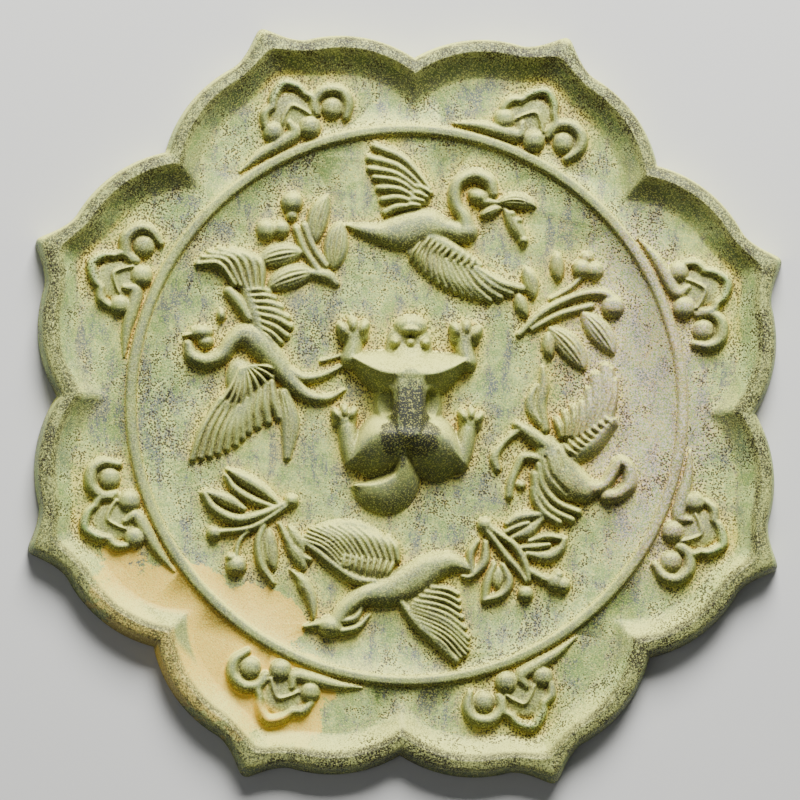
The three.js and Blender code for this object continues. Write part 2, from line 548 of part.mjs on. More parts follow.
// One cloud: a scalloped head that points outward, two beads, a scroll and a trailing wisp.
// It is drawn in the lobe's own frame, x clockwise and y outward, as seen from above.
function buildCloud(lobe) {
  const turn = (2 * lobe + 1) * HALF_ANGLE - Math.PI / 2;
  const scale = (TIP_RADIUS - RING_RADIUS) / DRAWN_BAND_WIDTH;
  const place = { scale, outward: RING_RADIUS - DRAWN_RING_RADIUS * scale, turn, relief: CLOUD_HEIGHT };
  return [
    stroke(place, [[-8.4, 86, 1.3, 0.7], [-6.6, 89.2, 1.5, 0.9], [-3.8, 91.2, 1.4, 0.9], [0, 94.8, 1.6, 1],
      [3.8, 91.2, 1.4, 0.9], [5.6, 88, 1.5, 0.9], [5.2, 85, 1.3, 0.8]], 'feather'),
    stroke(place, [[-3.8, 85, 1, 0.7], [0, 88, 1.2, 0.8], [3.4, 84.8, 1, 0.8]], 'feather'),
    dome(place, -7.2, 83.2, 2.9, 2.9, 1),
    dome(place, 2.6, 81, 3, 3, 1.1),
    dome(place, 10.4, 84.4, 4.4, 4.2, 1.1, 0, 8),
    stroke(place, [[-2.2, 84, 1, 0.7], [-1.6, 80.6, 1.6, 0.8], [-8, 79.2, 1.4, 0.7],
      [-19.4, 76.2, 0.4, 0.3]], 'feather', 4),
  ];
}

const bronze = new THREE.MeshStandardMaterial({ color: 0x9aa17d, roughness: 0.72, metalness: 0.25 });

const carving = [
  ...buildTopBird(),
  ...buildLeftBird(),
  ...buildBottomBird(),
  ...buildRightBird(),
  ...buildSprigs(),
];
for (let lobe = 0; lobe < LOBES; lobe += 1) {
  carving.push(...buildCloud(lobe));
}

const casting = join([buildPlate(), buildBeast().subtract(buildCordHole()), ...carving]);

const mirror = new THREE.Mesh(toGeometry(casting), bronze);
mirror.name = 'mirror';

const model = new THREE.Group();
model.add(mirror);

export default model;
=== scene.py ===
"""An ancient cast bronze mirror lying on its polished face, its carved back up."""

import math

import bpy
import numpy as np
from bpy.props import FloatProperty, FloatVectorProperty, PointerProperty
from mathutils import Matrix, Vector


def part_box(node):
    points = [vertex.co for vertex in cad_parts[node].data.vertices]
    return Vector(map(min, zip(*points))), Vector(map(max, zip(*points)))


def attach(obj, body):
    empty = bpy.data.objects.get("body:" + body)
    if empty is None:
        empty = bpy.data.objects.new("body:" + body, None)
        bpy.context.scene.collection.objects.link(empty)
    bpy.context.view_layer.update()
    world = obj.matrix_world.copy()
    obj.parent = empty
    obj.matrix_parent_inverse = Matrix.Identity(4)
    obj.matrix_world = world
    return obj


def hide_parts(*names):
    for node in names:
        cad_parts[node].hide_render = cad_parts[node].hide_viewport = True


bl_info = {
    "name": "Ancient Bronze Mirror",
    "version": (1, 0, 0),
    "blender": (4, 5, 0),
    "location": "View3D > Sidebar > Mirror",
    "description": "Builds an eight-lobed cast bronze mirror with its relief, patina and studio",
    "category": "Object",
}

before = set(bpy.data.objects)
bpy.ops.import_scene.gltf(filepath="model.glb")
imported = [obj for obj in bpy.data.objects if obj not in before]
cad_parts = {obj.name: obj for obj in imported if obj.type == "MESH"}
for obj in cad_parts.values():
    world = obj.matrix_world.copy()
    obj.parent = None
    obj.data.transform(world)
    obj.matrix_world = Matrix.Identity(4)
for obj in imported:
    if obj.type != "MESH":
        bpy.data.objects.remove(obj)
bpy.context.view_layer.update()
MIRROR_LOW, MIRROR_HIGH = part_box("mirror")

# The drawing: millimetres on the back of the mirror, x to the right and y to the beast's head
DRAWN_WIDTH = 205.84
MM = (MIRROR_HIGH.x - MIRROR_LOW.x) / DRAWN_WIDTH

LOBES = 8
TIP_RADIUS = 111.4
NOTCH_DEPTH = 15.1
TIP_RISE = 7.6
TIP_FLARE = 10.0
TIP_BLUNTNESS = 1.3
LOBE_ROUNDNESS = 0.926

PLATE = 3.0
RIM_HEIGHT = 8.5
RIM_DRAFT = 1.2
RIM_LIP = 3.4
RIM_SLOPE = 6.8
EDGE_BEVEL = 0.4

RING_RADIUS = 76.0
RING_WIDTH = 3.4
HOLE_REACH = 13.0
CAST_SOFTNESS = 0.16

# How fine the relief is worked out, and how many faces it keeps
COARSE = 1
RELIEF_STEP = 0.12 * COARSE
ROW_STEP = 0.3 * COARSE
ROUND_COUNT = 2560 // COARSE
FACES_KEPT = 190000 // COARSE
HOLE_CORNERS = 48


def in_millimetres(length):
    """A size that a user can set, in the drawing's millimetres."""
    return round(length / MM, 3)


def smoothstep(low, high, x):
    t = np.clip((x - low) / (high - low), 0.0, 1.0)
    return t * t * (3.0 - 2.0 * t)


def mix(a, b, t):
    return a + (b - a) * t


# Sections: height across a form at u from -1 to 1, where 1 is the form's own height


def round_section(u):
    return np.sqrt(np.clip(1.0 - u * u, 0.0, 1.0)) ** 1.2


def slab_section(u):
    return np.clip(1.0 - np.abs(u) ** 5, 0.0, 1.0) ** 0.7


def ridge_section(u):
    return np.clip(1.0 - np.abs(u), 0.0, 1.0) ** 0.85


def feather_section(u):
    return np.clip(1.0 - np.abs(u) ** 2.2, 0.0, 1.0) ** 0.75


def leaf_section(u):
    """A round blade with two narrow grooves on each side of its midrib."""
    u = np.abs(u)
    veins = 1.0 - 0.3 * np.exp(-((u - 0.2) / 0.09) ** 2) - 0.2 * np.exp(-((u - 0.52) / 0.08) ** 2)
    return veins * np.clip(1.0 - u ** 2.0, 0.0, 1.0) ** 0.8


def spine_section(u):
    """The beast's waist: a narrow flat back and long hollow flanks."""
    return np.interp(np.abs(u), [0.0, 0.3, 0.35, 0.43, 0.59, 0.745, 0.88, 1.0],
                     [1.0, 0.99, 0.93, 0.75, 0.49, 0.25, 0.09, 0.0])


def tail_section(u):
    """A crest near one edge and a long swell to the other."""
    crest = -0.55
    t = np.where(u > crest, (u - crest) / (1.0 - crest), (crest - u) / (1.0 + crest))
    return np.clip(1.0 - np.clip(t, 0.0, 1.0) ** 1.7, 0.0, 1.0) ** 0.8


class Relief:
    """Heights above the field on a square grid over the mirror's back, in millimetres."""

    def __init__(self, reach, step):
        self.reach = reach
        self.step = step
        count = int(2 * reach / step) + 1
        self.z = np.zeros((count, count), np.float32)

    def window(self, low, high):
        """The slices and the coordinates of the cells in a box."""
        first = np.clip(((np.asarray(low) + self.reach) / self.step).astype(int), 0, len(self.z) - 1)
        last = np.clip(((np.asarray(high) + self.reach) / self.step).astype(int) + 2, 1, len(self.z))
        x = np.arange(first[0], last[0]) * self.step - self.reach
        y = np.arange(first[1], last[1]) * self.step - self.reach
        cells = (slice(first[1], last[1]), slice(first[0], last[0]))
        return cells, x[None, :], y[:, None]

    def swept(self, stations, section, between=6):
        """The cells and heights of a form swept along stations of x, y, half width and height."""
        path = smooth_path(stations, between)
        path[:, 2] = np.maximum(path[:, 2], 0.12)
        path[:, 3] = np.maximum(path[:, 3], 0.0)
        reach = path[:, 2].max()
        cells, x, y = self.window(path[:, :2].min(0) - reach, path[:, :2].max(0) + reach)
        shape = (y.shape[0], x.shape[1])
        nearest = np.ones(shape, np.float32)
        signed = np.ones(shape, np.float32)
        top = np.zeros(shape, np.float32)
        left, bottom = x[0, 0], y[0, 0]
        for a, b in zip(path[:-1], path[1:]):
            wide = max(a[2], b[2])
            i0 = max(int((min(a[0], b[0]) - wide - left) / self.step), 0)
            i1 = int((max(a[0], b[0]) + wide - left) / self.step) + 2
            j0 = max(int((min(a[1], b[1]) - wide - bottom) / self.step), 0)
            j1 = int((max(a[1], b[1]) + wide - bottom) / self.step) + 2
            px = x[:, i0:i1] - a[0]
            py = y[j0:j1] - a[1]
            run = b[:2] - a[:2]
            t = np.clip((px * run[0] + py * run[1]) / (run @ run + 1e-9), 0.0, 1.0)
            aside = np.hypot(px - t * run[0], py - t * run[1]) / mix(a[2], b[2], t)
            part = (slice(j0, j1), slice(i0, i1))
            closer = aside < nearest[part]
            nearest[part] = np.where(closer, aside, nearest[part])
            signed[part] = np.where(closer, np.copysign(aside, run[1] * px - run[0] * py), signed[part])
            top[part] = np.where(closer, mix(a[3], b[3], t), top[part])
        return cells, top * section(signed)

    def raise_form(self, cells, heights, blend=0.3):
        """Stands a form on what is there, with a small fillet where the two meet."""
        below = self.z[cells]
        near = np.clip(blend - np.abs(below - heights), 0.0, None) / blend
        near *= np.clip(heights / blend, 0.0, 1.0)
        self.z[cells] = np.maximum(below, heights) + near * near * blend * 0.25

    def stroke(self, stations, section=round_section, blend=0.3):
        self.raise_form(*self.swept(stations, section), blend)

    def swell(self, stations, section=round_section):
        """Adds a form's heights to what is there."""
        cells, heights = self.swept(stations, section)
        self.z[cells] += heights

    def groove(self, points, width, depth):
        """Cuts a line into what is there, never below the field."""
        cells, cut = self.swept([(x, y, width, depth) for x, y in points], round_section)
        self.z[cells] = np.maximum(self.z[cells] - cut, np.minimum(self.z[cells], 0.05))

    def dome(self, x, y, rx, ry, height, angle=0.0, power=0.6, blend=0.3):
        reach = max(rx, ry)
        cells, gx, gy = self.window((x - reach, y - reach), (x + reach, y + reach))
        turn = math.radians(angle)
        along = (gx - x) * math.cos(turn) + (gy - y) * math.sin(turn)
        across = (gy - y) * math.cos(turn) - (gx - x) * math.sin(turn)
        inside = np.clip(1.0 - (along / rx) ** 2 - (across / ry) ** 2, 0.0, 1.0)
        self.raise_form(cells, height * inside ** power, blend)

    def roof(self, stations, upper, lower, blend):
        """A crest across the middle with a slope up the drawing and one down it, alike on both sides.

        A station is the distance from the middle, the crest's y, its height and the y of both feet."""
        path = smooth_path(stations, 8)
        reach = path[:, 0].max()
        cells, x, y = self.window((-reach, path[:, 4].min()), (reach, path[:, 3].max()))
        crest, height, above, below = (np.interp(np.abs(x), path[:, 0], path[:, k]) for k in range(1, 5))
        up = np.clip((y - crest) / np.maximum(above - crest, 0.2), 0.0, 1.0)
        down = np.clip((crest - y) / np.maximum(crest - below, 0.2), 0.0, 1.0)
        shape = np.where(y > crest, (1.0 - up ** upper[0]) ** upper[1],
                         (1.0 - down ** lower[0]) ** lower[1])
        self.raise_form(cells, np.maximum(height, 0.0) * shape, blend)

    def feathers(self, roots, tips, count, height, bow=0.0, fill=0.6, tip_height=0.62):
        """A spray of feathers from a line of roots to a line of tips, bowed to one side."""
        spines = []
        for i in range(count):
            root = along_line(roots, i / (count - 1))
            tip = along_line(tips, i / (count - 1))
            run = tip - root
            middle = root + run * 0.55 + np.array((-run[1], run[0])) * bow
            spines.append((root, middle, tip))
        for i, (root, middle, tip) in enumerate(spines):
            beside = spines[i - 1] if i else spines[1]
            gaps = [max(np.linalg.norm(here - there), 0.7) for here, there in
                    zip((root, middle, tip), beside)]
            self.stroke([
                (*root, gaps[0] * fill, height * 0.9),
                (*middle, gaps[1] * fill, height),
                (*tip, min(gaps[2] * fill, gaps[1] * fill * 0.9), height * tip_height),
            ], feather_section, 0.12)

    def leaf(self, stalk, point, width, height, bow=0.0):
        """A leaf blade with a raised edge and midrib, swelling between stalk and point."""
        stalk = np.array(stalk, float)
        run = np.array(point, float) - stalk
        side = np.array((-run[1], run[0]))
        stations = []
        for share in np.linspace(0.0, 1.0, 8):
            place = stalk + run * share + side * bow * 4.0 * share * (1.0 - share)
            swell = math.sin(math.pi * min(share * 0.92 + 0.06, 1.0)) ** 0.75
            stations.append((*place, max(1.18 * width * swell, 0.25), height * (0.6 + 0.6 * swell)))
        self.raise_form(*self.swept(stations, leaf_section, 3), 0.12)

    def soften(self, sigma):
        """Blurs the heights as a cast surface is soft."""
        spread = sigma / self.step
        reach = max(int(spread * 3 + 0.5), 1)
        weights = np.exp(-0.5 * (np.arange(-reach, reach + 1) / spread) ** 2)
        weights /= weights.sum()
        for axis in (0, 1):
            total = np.zeros_like(self.z)
            for shift, weight in zip(range(-reach, reach + 1), weights):
                total += np.roll(self.z, shift, axis) * np.float32(weight)
            self.z = total

    def at(self, x, y):
        """The height at points, between the cells."""
        gx = (x + self.reach) / self.step
        gy = (y + self.reach) / self.step
        i = np.clip(gx.astype(int), 0, len(self.z) - 2)
        j = np.clip(gy.astype(int), 0, len(self.z) - 2)
        fx = gx - i
        fy = gy - j
        low = mix(self.z[j, i], self.z[j, i + 1], fx)
        high = mix(self.z[j + 1, i], self.z[j + 1, i + 1], fx)
        return mix(low, high, fy)


def smooth_path(stations, between):
    """A smooth path through stations; every column of a station follows the same curve."""
    s = np.array(stations, float)
    padded = np.vstack([2 * s[0] - s[1], s, 2 * s[-1] - s[-2]])
    path = []
    for k in range(len(s) - 1):
        p0, p1, p2, p3 = padded[k:k + 4]
        for t in np.linspace(0.0, 1.0, between, endpoint=False):
            bend = (2 * p0 - 5 * p1 + 4 * p2 - p3) * t * t + (3 * p1 - p0 - 3 * p2 + p3) * t ** 3
            path.append(0.5 * (2 * p1 + (p2 - p0) * t + bend))
    path.append(s[-1])
    return np.array(path)


def along_line(points, share):
    place = share * (len(points) - 1)
    k = min(int(place), len(points) - 2)
    return mix(np.array(points[k], float), np.array(points[k + 1], float), place - k)


# The beast that is the knob


def carve_beast(relief, k):
    """The beast, with k the knob's height above the field."""
    # Waist, shoulders with the neck before them, and haunches
    relief.stroke([(0, 6, 10.2, 0.98 * k), (0, 2, 10.2, 0.99 * k), (0, -3, 10.2, 0.98 * k),
                   (0, -7, 10.2, 0.95 * k)], spine_section, 1.0)
    relief.roof([(0, 7.2, 0.98 * k, 15.6, -3), (3.4, 7.2, 0.96 * k, 15.4, -1),
                 (6, 7.4, 0.88 * k, 15, 0.6), (9, 8.3, 0.77 * k, 14.6, 2.2), (12, 9.8, 0.63 * k, 14.4, 5),
                 (15, 11.6, 0.47 * k, 14.8, 8.6), (17.4, 12.9, 0.28 * k, 15, 11.2),
                 (18.4, 13.2, 0.0, 14.4, 12.2)], (1.5, 1.0), (1.0, 0.8), 1.6)
    relief.stroke([(0, 11, 7, 0.7 * k), (0, 16.5, 6.4, 0.34 * k)], round_section, 1.2)
    relief.roof([(0, -9, 0.95 * k, -2, -20), (4, -9, 0.92 * k, -1.6, -20.6),
                 (7.5, -9.2, 0.85 * k, -2.4, -21.3), (10, -10.2, 0.75 * k, -3.4, -21.2),
                 (12.5, -12.4, 0.61 * k, -6, -19.6),
                 (14.6, -15, 0.44 * k, -9.6, -17.8), (16.2, -16.4, 0.26 * k, -13, -17.4),
                 (17, -16.8, 0.0, -15.4, -17.4)], (1.6, 0.9), (1.5, 0.9), 1.6)
    relief.groove([(0.4, -13), (0.7, -20.4)], 0.9, 1.4)
    # Head, seen from above, with its brow and the three tufts behind it
    relief.dome(0.3, 21, 4.6, 3.6, 0.44 * k, power=0.45)
    relief.dome(0.3, 20, 3.3, 2.0, 0.58 * k, power=0.5)
    relief.groove([(0.3, 17.9), (0.3, 19)], 0.45, 1.0)
    for x in (-3.9, 0.2, 4.2):
        relief.dome(x, 16.5, 1.7, 1.9, 0.52 * k, power=0.45, blend=0.05)
    # Tail, laid round to one side
    relief.stroke([(-13.4, -23.6, 1.6, 0.26 * k), (-9.6, -25.2, 4, 0.4 * k), (-4.6, -25, 5.6, 0.46 * k),
                   (-0.6, -21.4, 4.6, 0.53 * k), (0, -16.6, 3.2, 0.62 * k), (-1, -13, 2.2, 0.66 * k)],
                  tail_section, 0.6)
    # Fore and hind legs with their toes, and a curl on each flank
    for side in (-1, 1):
        relief.stroke([(side * 16, 12, 2.8, 0.42 * k), (side * 15.3, 15.5, 2.6, 0.36 * k),
                       (side * 15.2, 19, 2.6, 0.32 * k)], round_section, 0.8)
        relief.dome(side * 15.3, 18.8, 4.2, 3.4, 0.33 * k, power=0.5)
        relief.stroke([(side * 14.2, -15.6, 3, 0.38 * k), (side * 15.4, -11.6, 3, 0.33 * k),
                       (side * 16.6, -7, 2.6, 0.3 * k)], round_section, 0.8)
        relief.dome(side * 17.2, -4.8, 3.4, 3, 0.28 * k, power=0.5)
        for dx, dy, lean in ((2.9, -0.6, -30), (0.3, 0.7, -4), (-2.5, 0.0, 24)):
            relief.dome(side * (15.3 + dx), 20.4 + dy, 1.7, 2.6, 0.42 * k, side * lean, 0.4, 0.05)
            relief.dome(side * (17.2 + dx * 0.75), -3.2 + dy * 0.8, 1.3, 2.2, 0.37 * k,
                        side * lean, 0.4, 0.05)
        relief.swell([(side * 4.4, 3.6, 0.8, 0.5), (side * 6.4, 4.3, 0.8, 0.7), (side * 8, 2.2, 0.8, 0.7),
                      (side * 8.3, -1, 0.8, 0.7), (side * 7, -4, 0.8, 0.6), (side * 4.6, -3.8, 0.8, 0.4)])


# The four birds, each built up in the order in which its forms lie on each other; h is a bird's height


def carve_top_bird(relief, h):
    # Right wing, with a row of short feathers over the long ones
    relief.stroke([(1, 42.6, 2.4, 0.4 * h), (8, 38.6, 5, 0.5 * h), (17, 34.6, 4.4, 0.5 * h),
                   (26, 33.4, 2, 0.4 * h)], slab_section)
    relief.feathers([(2.4, 44.4), (6, 42.8), (10.6, 39.8), (18, 38)],
                    [(0.2, 40), (3.6, 36.6), (9, 32.8), (15.6, 30.4), (22.4, 29.2), (30.8, 32.6)],
                    15, 1.02 * h, -0.08)
    relief.stroke([(3.6, 47, 2, 0.9 * h), (8.6, 44.4, 2.4, 1.05 * h), (14, 41.4, 2, 1.02 * h),
                   (19, 38.6, 0.9, 0.8 * h)])
    relief.feathers([(5, 46), (11.4, 43.6), (17.4, 40)], [(3.4, 42), (8.4, 39.4), (16.6, 37)],
                    9, 1.16 * h, -0.1)
    # Left wing
    relief.stroke([(2.6, 57, 2.6, 0.45 * h), (-3, 60.4, 5, 0.45 * h), (-9, 66.4, 2.6, 0.4 * h)],
                  slab_section)
    relief.feathers([(4.8, 59.6), (1, 54.4)],
                    [(-10.4, 71), (-12.4, 66), (-10.4, 62.4), (-8.4, 58), (-7, 52.8)], 7, h, -0.1)
    relief.feathers([(5, 58.4), (2, 54.8)], [(0, 60.4), (-2.4, 54.4)], 4, 1.12 * h, -0.06)
    # Body, breast, neck and head
    relief.stroke([(-18, 49, 0.5, 0.4 * h), (-14.4, 48, 1.6, 0.7 * h), (-8.2, 47, 3, h),
                   (-2, 47.6, 5.2, 1.2 * h), (3.5, 49.4, 5, 1.2 * h), (8.6, 48.8, 3.2, 1.05 * h)])
    relief.stroke([(8, 49, 3, h), (14.6, 47.8, 3, 1.15 * h), (14.6, 51.4, 2.2, 1.1 * h),
                   (12.4, 55, 1.9, 1.05 * h), (11.7, 58.6, 1.9, 1.05 * h),
                   (13.2, 62, 1.9, 1.05 * h), (17.2, 63.8, 2, 1.05 * h),
                   (21, 62.2, 2.1, 1.05 * h), (22.4, 58.8, 1.6, 0.9 * h)])
    relief.dome(15.2, 48, 3.3, 3.1, 1.25 * h)
    relief.dome(18.4, 57.8, 3.2, 2.4, 1.1 * h, -15)
    relief.stroke([(20, 56.4, 1.6, 0.9 * h), (25, 56.2, 0.7, 0.5 * h)])
    # Sprig in the beak
    relief.leaf((24, 56.2), (34.2, 55.4), 2, 0.95 * h, 0.12)
    relief.leaf((19.2, 52.6), (24.8, 55), 1.5, 0.85 * h, 0.02)
    relief.leaf((25.6, 54.6), (31.8, 44.6), 1.8, 0.85 * h, 0.02)
    relief.dome(27.6, 53.2, 1.3, 1.3, 0.95 * h)
    relief.dome(29.6, 51.4, 1.1, 1.1, 0.95 * h)
    relief.dome(31, 46, 1.5, 1.5, 0.95 * h)


def carve_left_bird(relief, h):
    # Head, beak and neck loop
    relief.dome(-57, 18.2, 3.3, 2.2, 1.05 * h)
    relief.stroke([(-57, 18.4, 1.5, 0.9 * h), (-61.8, 17.2, 0.4, 0.4 * h)])
    relief.dome(-55.8, 15.7, 2.4, 1.9, 0.85 * h)
    relief.dome(-51.7, 23.2, 1.3, 2, 0.8 * h)
    relief.stroke([(-60.6, 15, 1.3, 0.7 * h), (-59.4, 11.6, 2, h), (-55.6, 10.3, 2.2, 1.05 * h),
                   (-51.4, 12, 2.3, 1.1 * h), (-48.6, 15.8, 2.4, 1.15 * h), (-45, 18, 3.4, 1.2 * h),
                   (-40.8, 15.4, 3.9, 1.2 * h), (-36.6, 10.8, 3.3, 1.15 * h), (-32.4, 5.6, 2.5, 1.05 * h),
                   (-27.6, 1.6, 1.9, 0.85 * h), (-22, 1, 1.3, 0.65 * h), (-17.6, 3.4, 0.6, 0.45 * h)])
    relief.stroke([(-34, 8.8, 1.8, 0.85 * h), (-28.8, 6.4, 1.5, 0.75 * h), (-23.2, 7.4, 1.2, 0.65 * h),
                   (-17.6, 10.4, 0.7, 0.5 * h)])
    relief.stroke([(-24, 11.2, 0.7, 0.4 * h), (-17.6, 13.2, 0.7, 0.4 * h)])
    # Upper wing
    relief.stroke([(-57.6, 38, 1.4, 0.4 * h), (-51, 38, 3.2, 0.45 * h), (-45.6, 34, 3.6, 0.45 * h),
                   (-43, 29, 2.6, 0.4 * h)], slab_section)
    relief.feathers([(-48.2, 31.6), (-40.8, 30.4)],
                    [(-58.4, 37.2), (-57, 39.4), (-54.2, 40.8), (-50.4, 41.4), (-46.4, 40.6)], 6, h, -0.24)
    relief.stroke([(-45, 30.6, 1.8, 0.8 * h), (-43, 25, 2.4, 0.9 * h), (-41, 19, 2, 0.9 * h)])
    relief.feathers([(-44.8, 30), (-43.4, 24.6), (-41.2, 18.8)],
                    [(-38.8, 30), (-36.6, 27.4), (-34, 23.4), (-32.6, 20), (-34.6, 16.4), (-37, 15.4)],
                    8, h, 0.06)
    relief.stroke([(-49.6, 29.8, 1.7, 0.8 * h), (-47.2, 27, 1.9, 0.95 * h), (-44.2, 22.4, 1.5, 0.95 * h)])
    # Lower wing: long feathers first, short ones over their roots
    relief.stroke([(-49.6, -2, 3, 0.4 * h), (-52, -9, 3, 0.4 * h), (-57.4, -15.4, 1, 0.3 * h)],
                  slab_section)
    relief.stroke([(-42, 3, 5, 0.45 * h), (-42.6, -4, 4, 0.4 * h)], slab_section)
    relief.feathers([(-51.4, 0), (-47, -2.4), (-43.4, 1), (-37.6, 5)],
                    [(-58.6, -16.6), (-52.8, -15.2), (-47, -12.2), (-42.6, -7.6), (-35.4, -4.4)],
                    11, 0.95 * h, -0.05)
    relief.dome(-45.6, 5, 4.4, 6.6, 0.85 * h, 16, 0.5)
    relief.feathers([(-46.4, 8.4), (-43.4, 9.4)],
                    [(-51.8, -1.8), (-49, -4), (-45.2, -1.8), (-41.4, 1.8), (-38, 5), (-36.2, 8.4)],
                    9, 1.25 * h, 0.04)
    relief.stroke([(-34, 2, 2, 0.8 * h), (-32.2, -6, 2.8, 0.9 * h), (-32.8, -15.4, 1.2, 0.6 * h)],
                  leaf_section)


def carve_bottom_bird(relief, h):
    # Upper wing: long feathers bowed to the left, a row of short ones along its lower edge
    relief.stroke([(-27.4, -38.4, 1.6, 0.4 * h), (-21, -36.8, 4, 0.5 * h), (-13, -38, 5.6, 0.5 * h),
                   (-5, -41.6, 3.6, 0.5 * h)], slab_section)
    relief.feathers([(-17, -45.4), (-11, -43.6), (-2, -43)],
                    [(-28, -38), (-26, -35), (-20.6, -34), (-13, -34.6), (-4.6, -37.2)], 13, h, -0.1)
    relief.stroke([(-28, -38.6, 1, 0.6 * h), (-23.6, -41.4, 1.4, 0.8 * h), (-18.6, -45.4, 1.4, 0.9 * h),
                   (-13, -48.6, 1.6, 0.9 * h), (-7.8, -49, 1, 0.8 * h)])
    relief.feathers([(-16.6, -42.2), (-10, -42.8), (-3.4, -44)],
                    [(-17, -46.2), (-10.6, -48), (-5, -48)], 9, 1.12 * h)
    # Lower wing
    relief.stroke([(0.6, -54.4, 2.4, 0.45 * h), (6, -58, 5, 0.5 * h), (12, -63, 3.6, 0.45 * h),
                   (15.4, -68.6, 1.4, 0.4 * h)], slab_section)
    relief.feathers([(7.6, -50.4), (2.6, -54.6), (1, -57), (4.4, -61.6)],
                    [(14.6, -52), (15.4, -57), (17.6, -64), (17.8, -68), (14.6, -70)], 11, h, 0.08)
    relief.stroke([(-0.6, -54.6, 1.2, 0.8 * h), (3.4, -60, 1.5, 0.9 * h), (9, -65, 1.5, 0.9 * h),
                   (14.6, -70, 1.3, 0.7 * h)])
    # Body, neck, head and its two crests
    relief.stroke([(-19, -61, 2, h), (-15.6, -56.6, 2.4, 1.1 * h), (-11, -53, 3, 1.2 * h),
                   (-4, -51.4, 4.4, 1.25 * h), (2, -48.6, 4.8, 1.25 * h), (7.6, -44.8, 4.2, 1.2 * h),
                   (13, -43.4, 2.8, h), (19.4, -45.6, 0.8, 0.5 * h)])
    relief.dome(-20, -61.6, 4, 3, 1.25 * h)
    relief.stroke([(-22.4, -61, 1.6, 0.9 * h), (-27, -61.8, 0.7, 0.5 * h)])
    relief.stroke([(-17.4, -60.2, 1.3, 0.9 * h), (-13.4, -59.2, 1.3, 0.85 * h), (-11.4, -56, 0.8, 0.6 * h)])
    relief.stroke([(-16.8, -62.8, 1.3, 0.9 * h), (-12.6, -61.6, 1.2, 0.8 * h), (-9.6, -58.4, 0.7, 0.5 * h)])
    # Sprig in the beak
    relief.leaf((-24.6, -59.6), (-31.4, -46.2), 1.5, 0.8 * h, -0.12)
    relief.leaf((-28.6, -47.4), (-24.4, -53.6), 1.7, 0.8 * h, -0.1)
    relief.leaf((-32.6, -39), (-27.4, -46.4), 1.9, 0.8 * h, 0.08)


def carve_right_bird(relief, h):
    # Long wing feathers, then the bar of short ones over their roots
    relief.stroke([(44.4, -7, 2.4, 0.45 * h), (50, -2, 5, 0.5 * h), (53.6, 4, 4, 0.45 * h),
                   (55.4, 11, 1.6, 0.4 * h)], slab_section)
    relief.feathers([(42.4, -8), (48, -7.4), (55.6, -3)],
                    [(41, -3.4), (44.6, -0.4), (48.6, 1.6), (51.2, 8.4), (55.2, 12.6), (57, 8)],
                    9, h, -0.05)
    relief.stroke([(46.4, -14, 1.8, 0.8 * h), (51.4, -10.4, 2.4, 1.1 * h), (56.8, -3.8, 1.6, h)],
                  tail_section)
    relief.feathers([(46, -12.6), (51.6, -9), (56, -4)], [(43.4, -10.4), (48.4, -6.4), (54, -1.6)],
                    8, 1.16 * h, 0.1)
    # The wing behind
    relief.stroke([(38, -6, 1.5, 0.8 * h), (36.6, 0.4, 1.7, 0.85 * h), (37.4, 6, 1.6, 0.8 * h),
                   (37, 11, 0.8, 0.5 * h)], leaf_section)
    relief.stroke([(36.8, -4.6, 1.4, 0.7 * h), (34.2, -0.8, 1.7, 0.75 * h), (34, 2.8, 1.4, 0.7 * h),
                   (35.4, 6, 0.7, 0.5 * h)], leaf_section)
    # Thigh and legs
    relief.stroke([(30.2, -5, 1.3, 0.8 * h), (34, -7.6, 2.2, 1.05 * h), (38.6, -10.8, 2.2, 1.05 * h)])
    relief.stroke([(30.8, -6.4, 1.3, 0.7 * h), (26.8, -10, 1, 0.6 * h), (24.2, -14, 1.4, 0.65 * h),
                   (25, -17.2, 1.2, 0.6 * h)])
    relief.stroke([(37, -14.2, 1.5, 0.8 * h), (32.4, -13.8, 1.5, 0.8 * h), (30.4, -17, 1.3, 0.7 * h),
                   (28.8, -21, 1.3, 0.7 * h), (28.4, -24.6, 1.2, 0.6 * h)])
    relief.dome(31.6, -21.6, 1.6, 1.4, 0.6 * h)
    # Tail
    for line in ([(36.4, -16), (37.4, -21.4), (41.6, -26.2), (47.4, -28.6)],
                 [(35.2, -18.6), (36, -23), (39.8, -28), (45.6, -30.8)],
                 [(35.2, -22.6), (35.6, -25.4), (38, -29), (42.2, -31.6)]):
        relief.stroke([(x, y, 1.3, 0.85 * h) for x, y in line], feather_section)
    # Body with two folds, neck and head
    relief.stroke([(38.4, -10.4, 3, 0.9 * h), (40.4, -14.4, 5, 1.25 * h), (43.8, -19.4, 5.5, 1.3 * h),
                   (49, -22.4, 3.8, 1.15 * h)])
    relief.groove([(38, -14), (39.6, -18.6), (44, -23.4)], 0.6, 0.8)
    relief.groove([(41.6, -12.6), (42.8, -16.8)], 0.5, 0.6)
    relief.stroke([(48, -22.6, 3.4, 1.1 * h), (54, -21.4, 2, h), (56.8, -17.6, 1.9, h),
                   (58.6, -14.6, 1.9, h), (61, -16, 1.9, h), (61.4, -20.6, 2.2, 1.05 * h),
                   (58.6, -23.6, 2, h)])
    relief.dome(56.4, -24, 3.3, 2.2, 1.1 * h, 10)
    relief.stroke([(56, -24, 1.5, 0.8 * h), (52.8, -23.4, 0.5, 0.4 * h)])


# The four sprigs; h is a sprig's height


def carve_stems(relief, h, stems):
    """Strokes whose stations give x, y, half width and the share of the sprig's height."""
    for stem in stems:
        relief.stroke([(x, y, width, share * h) for x, y, width, share in stem])


def carve_buds(relief, h, buds, fullness=1.0):
    """Round buds, each with its place, radius and share of the height."""
    for x, y, radius, share in buds:
        relief.dome(x, y, fullness * radius, fullness * radius, 1.15 * share * h, power=0.5)


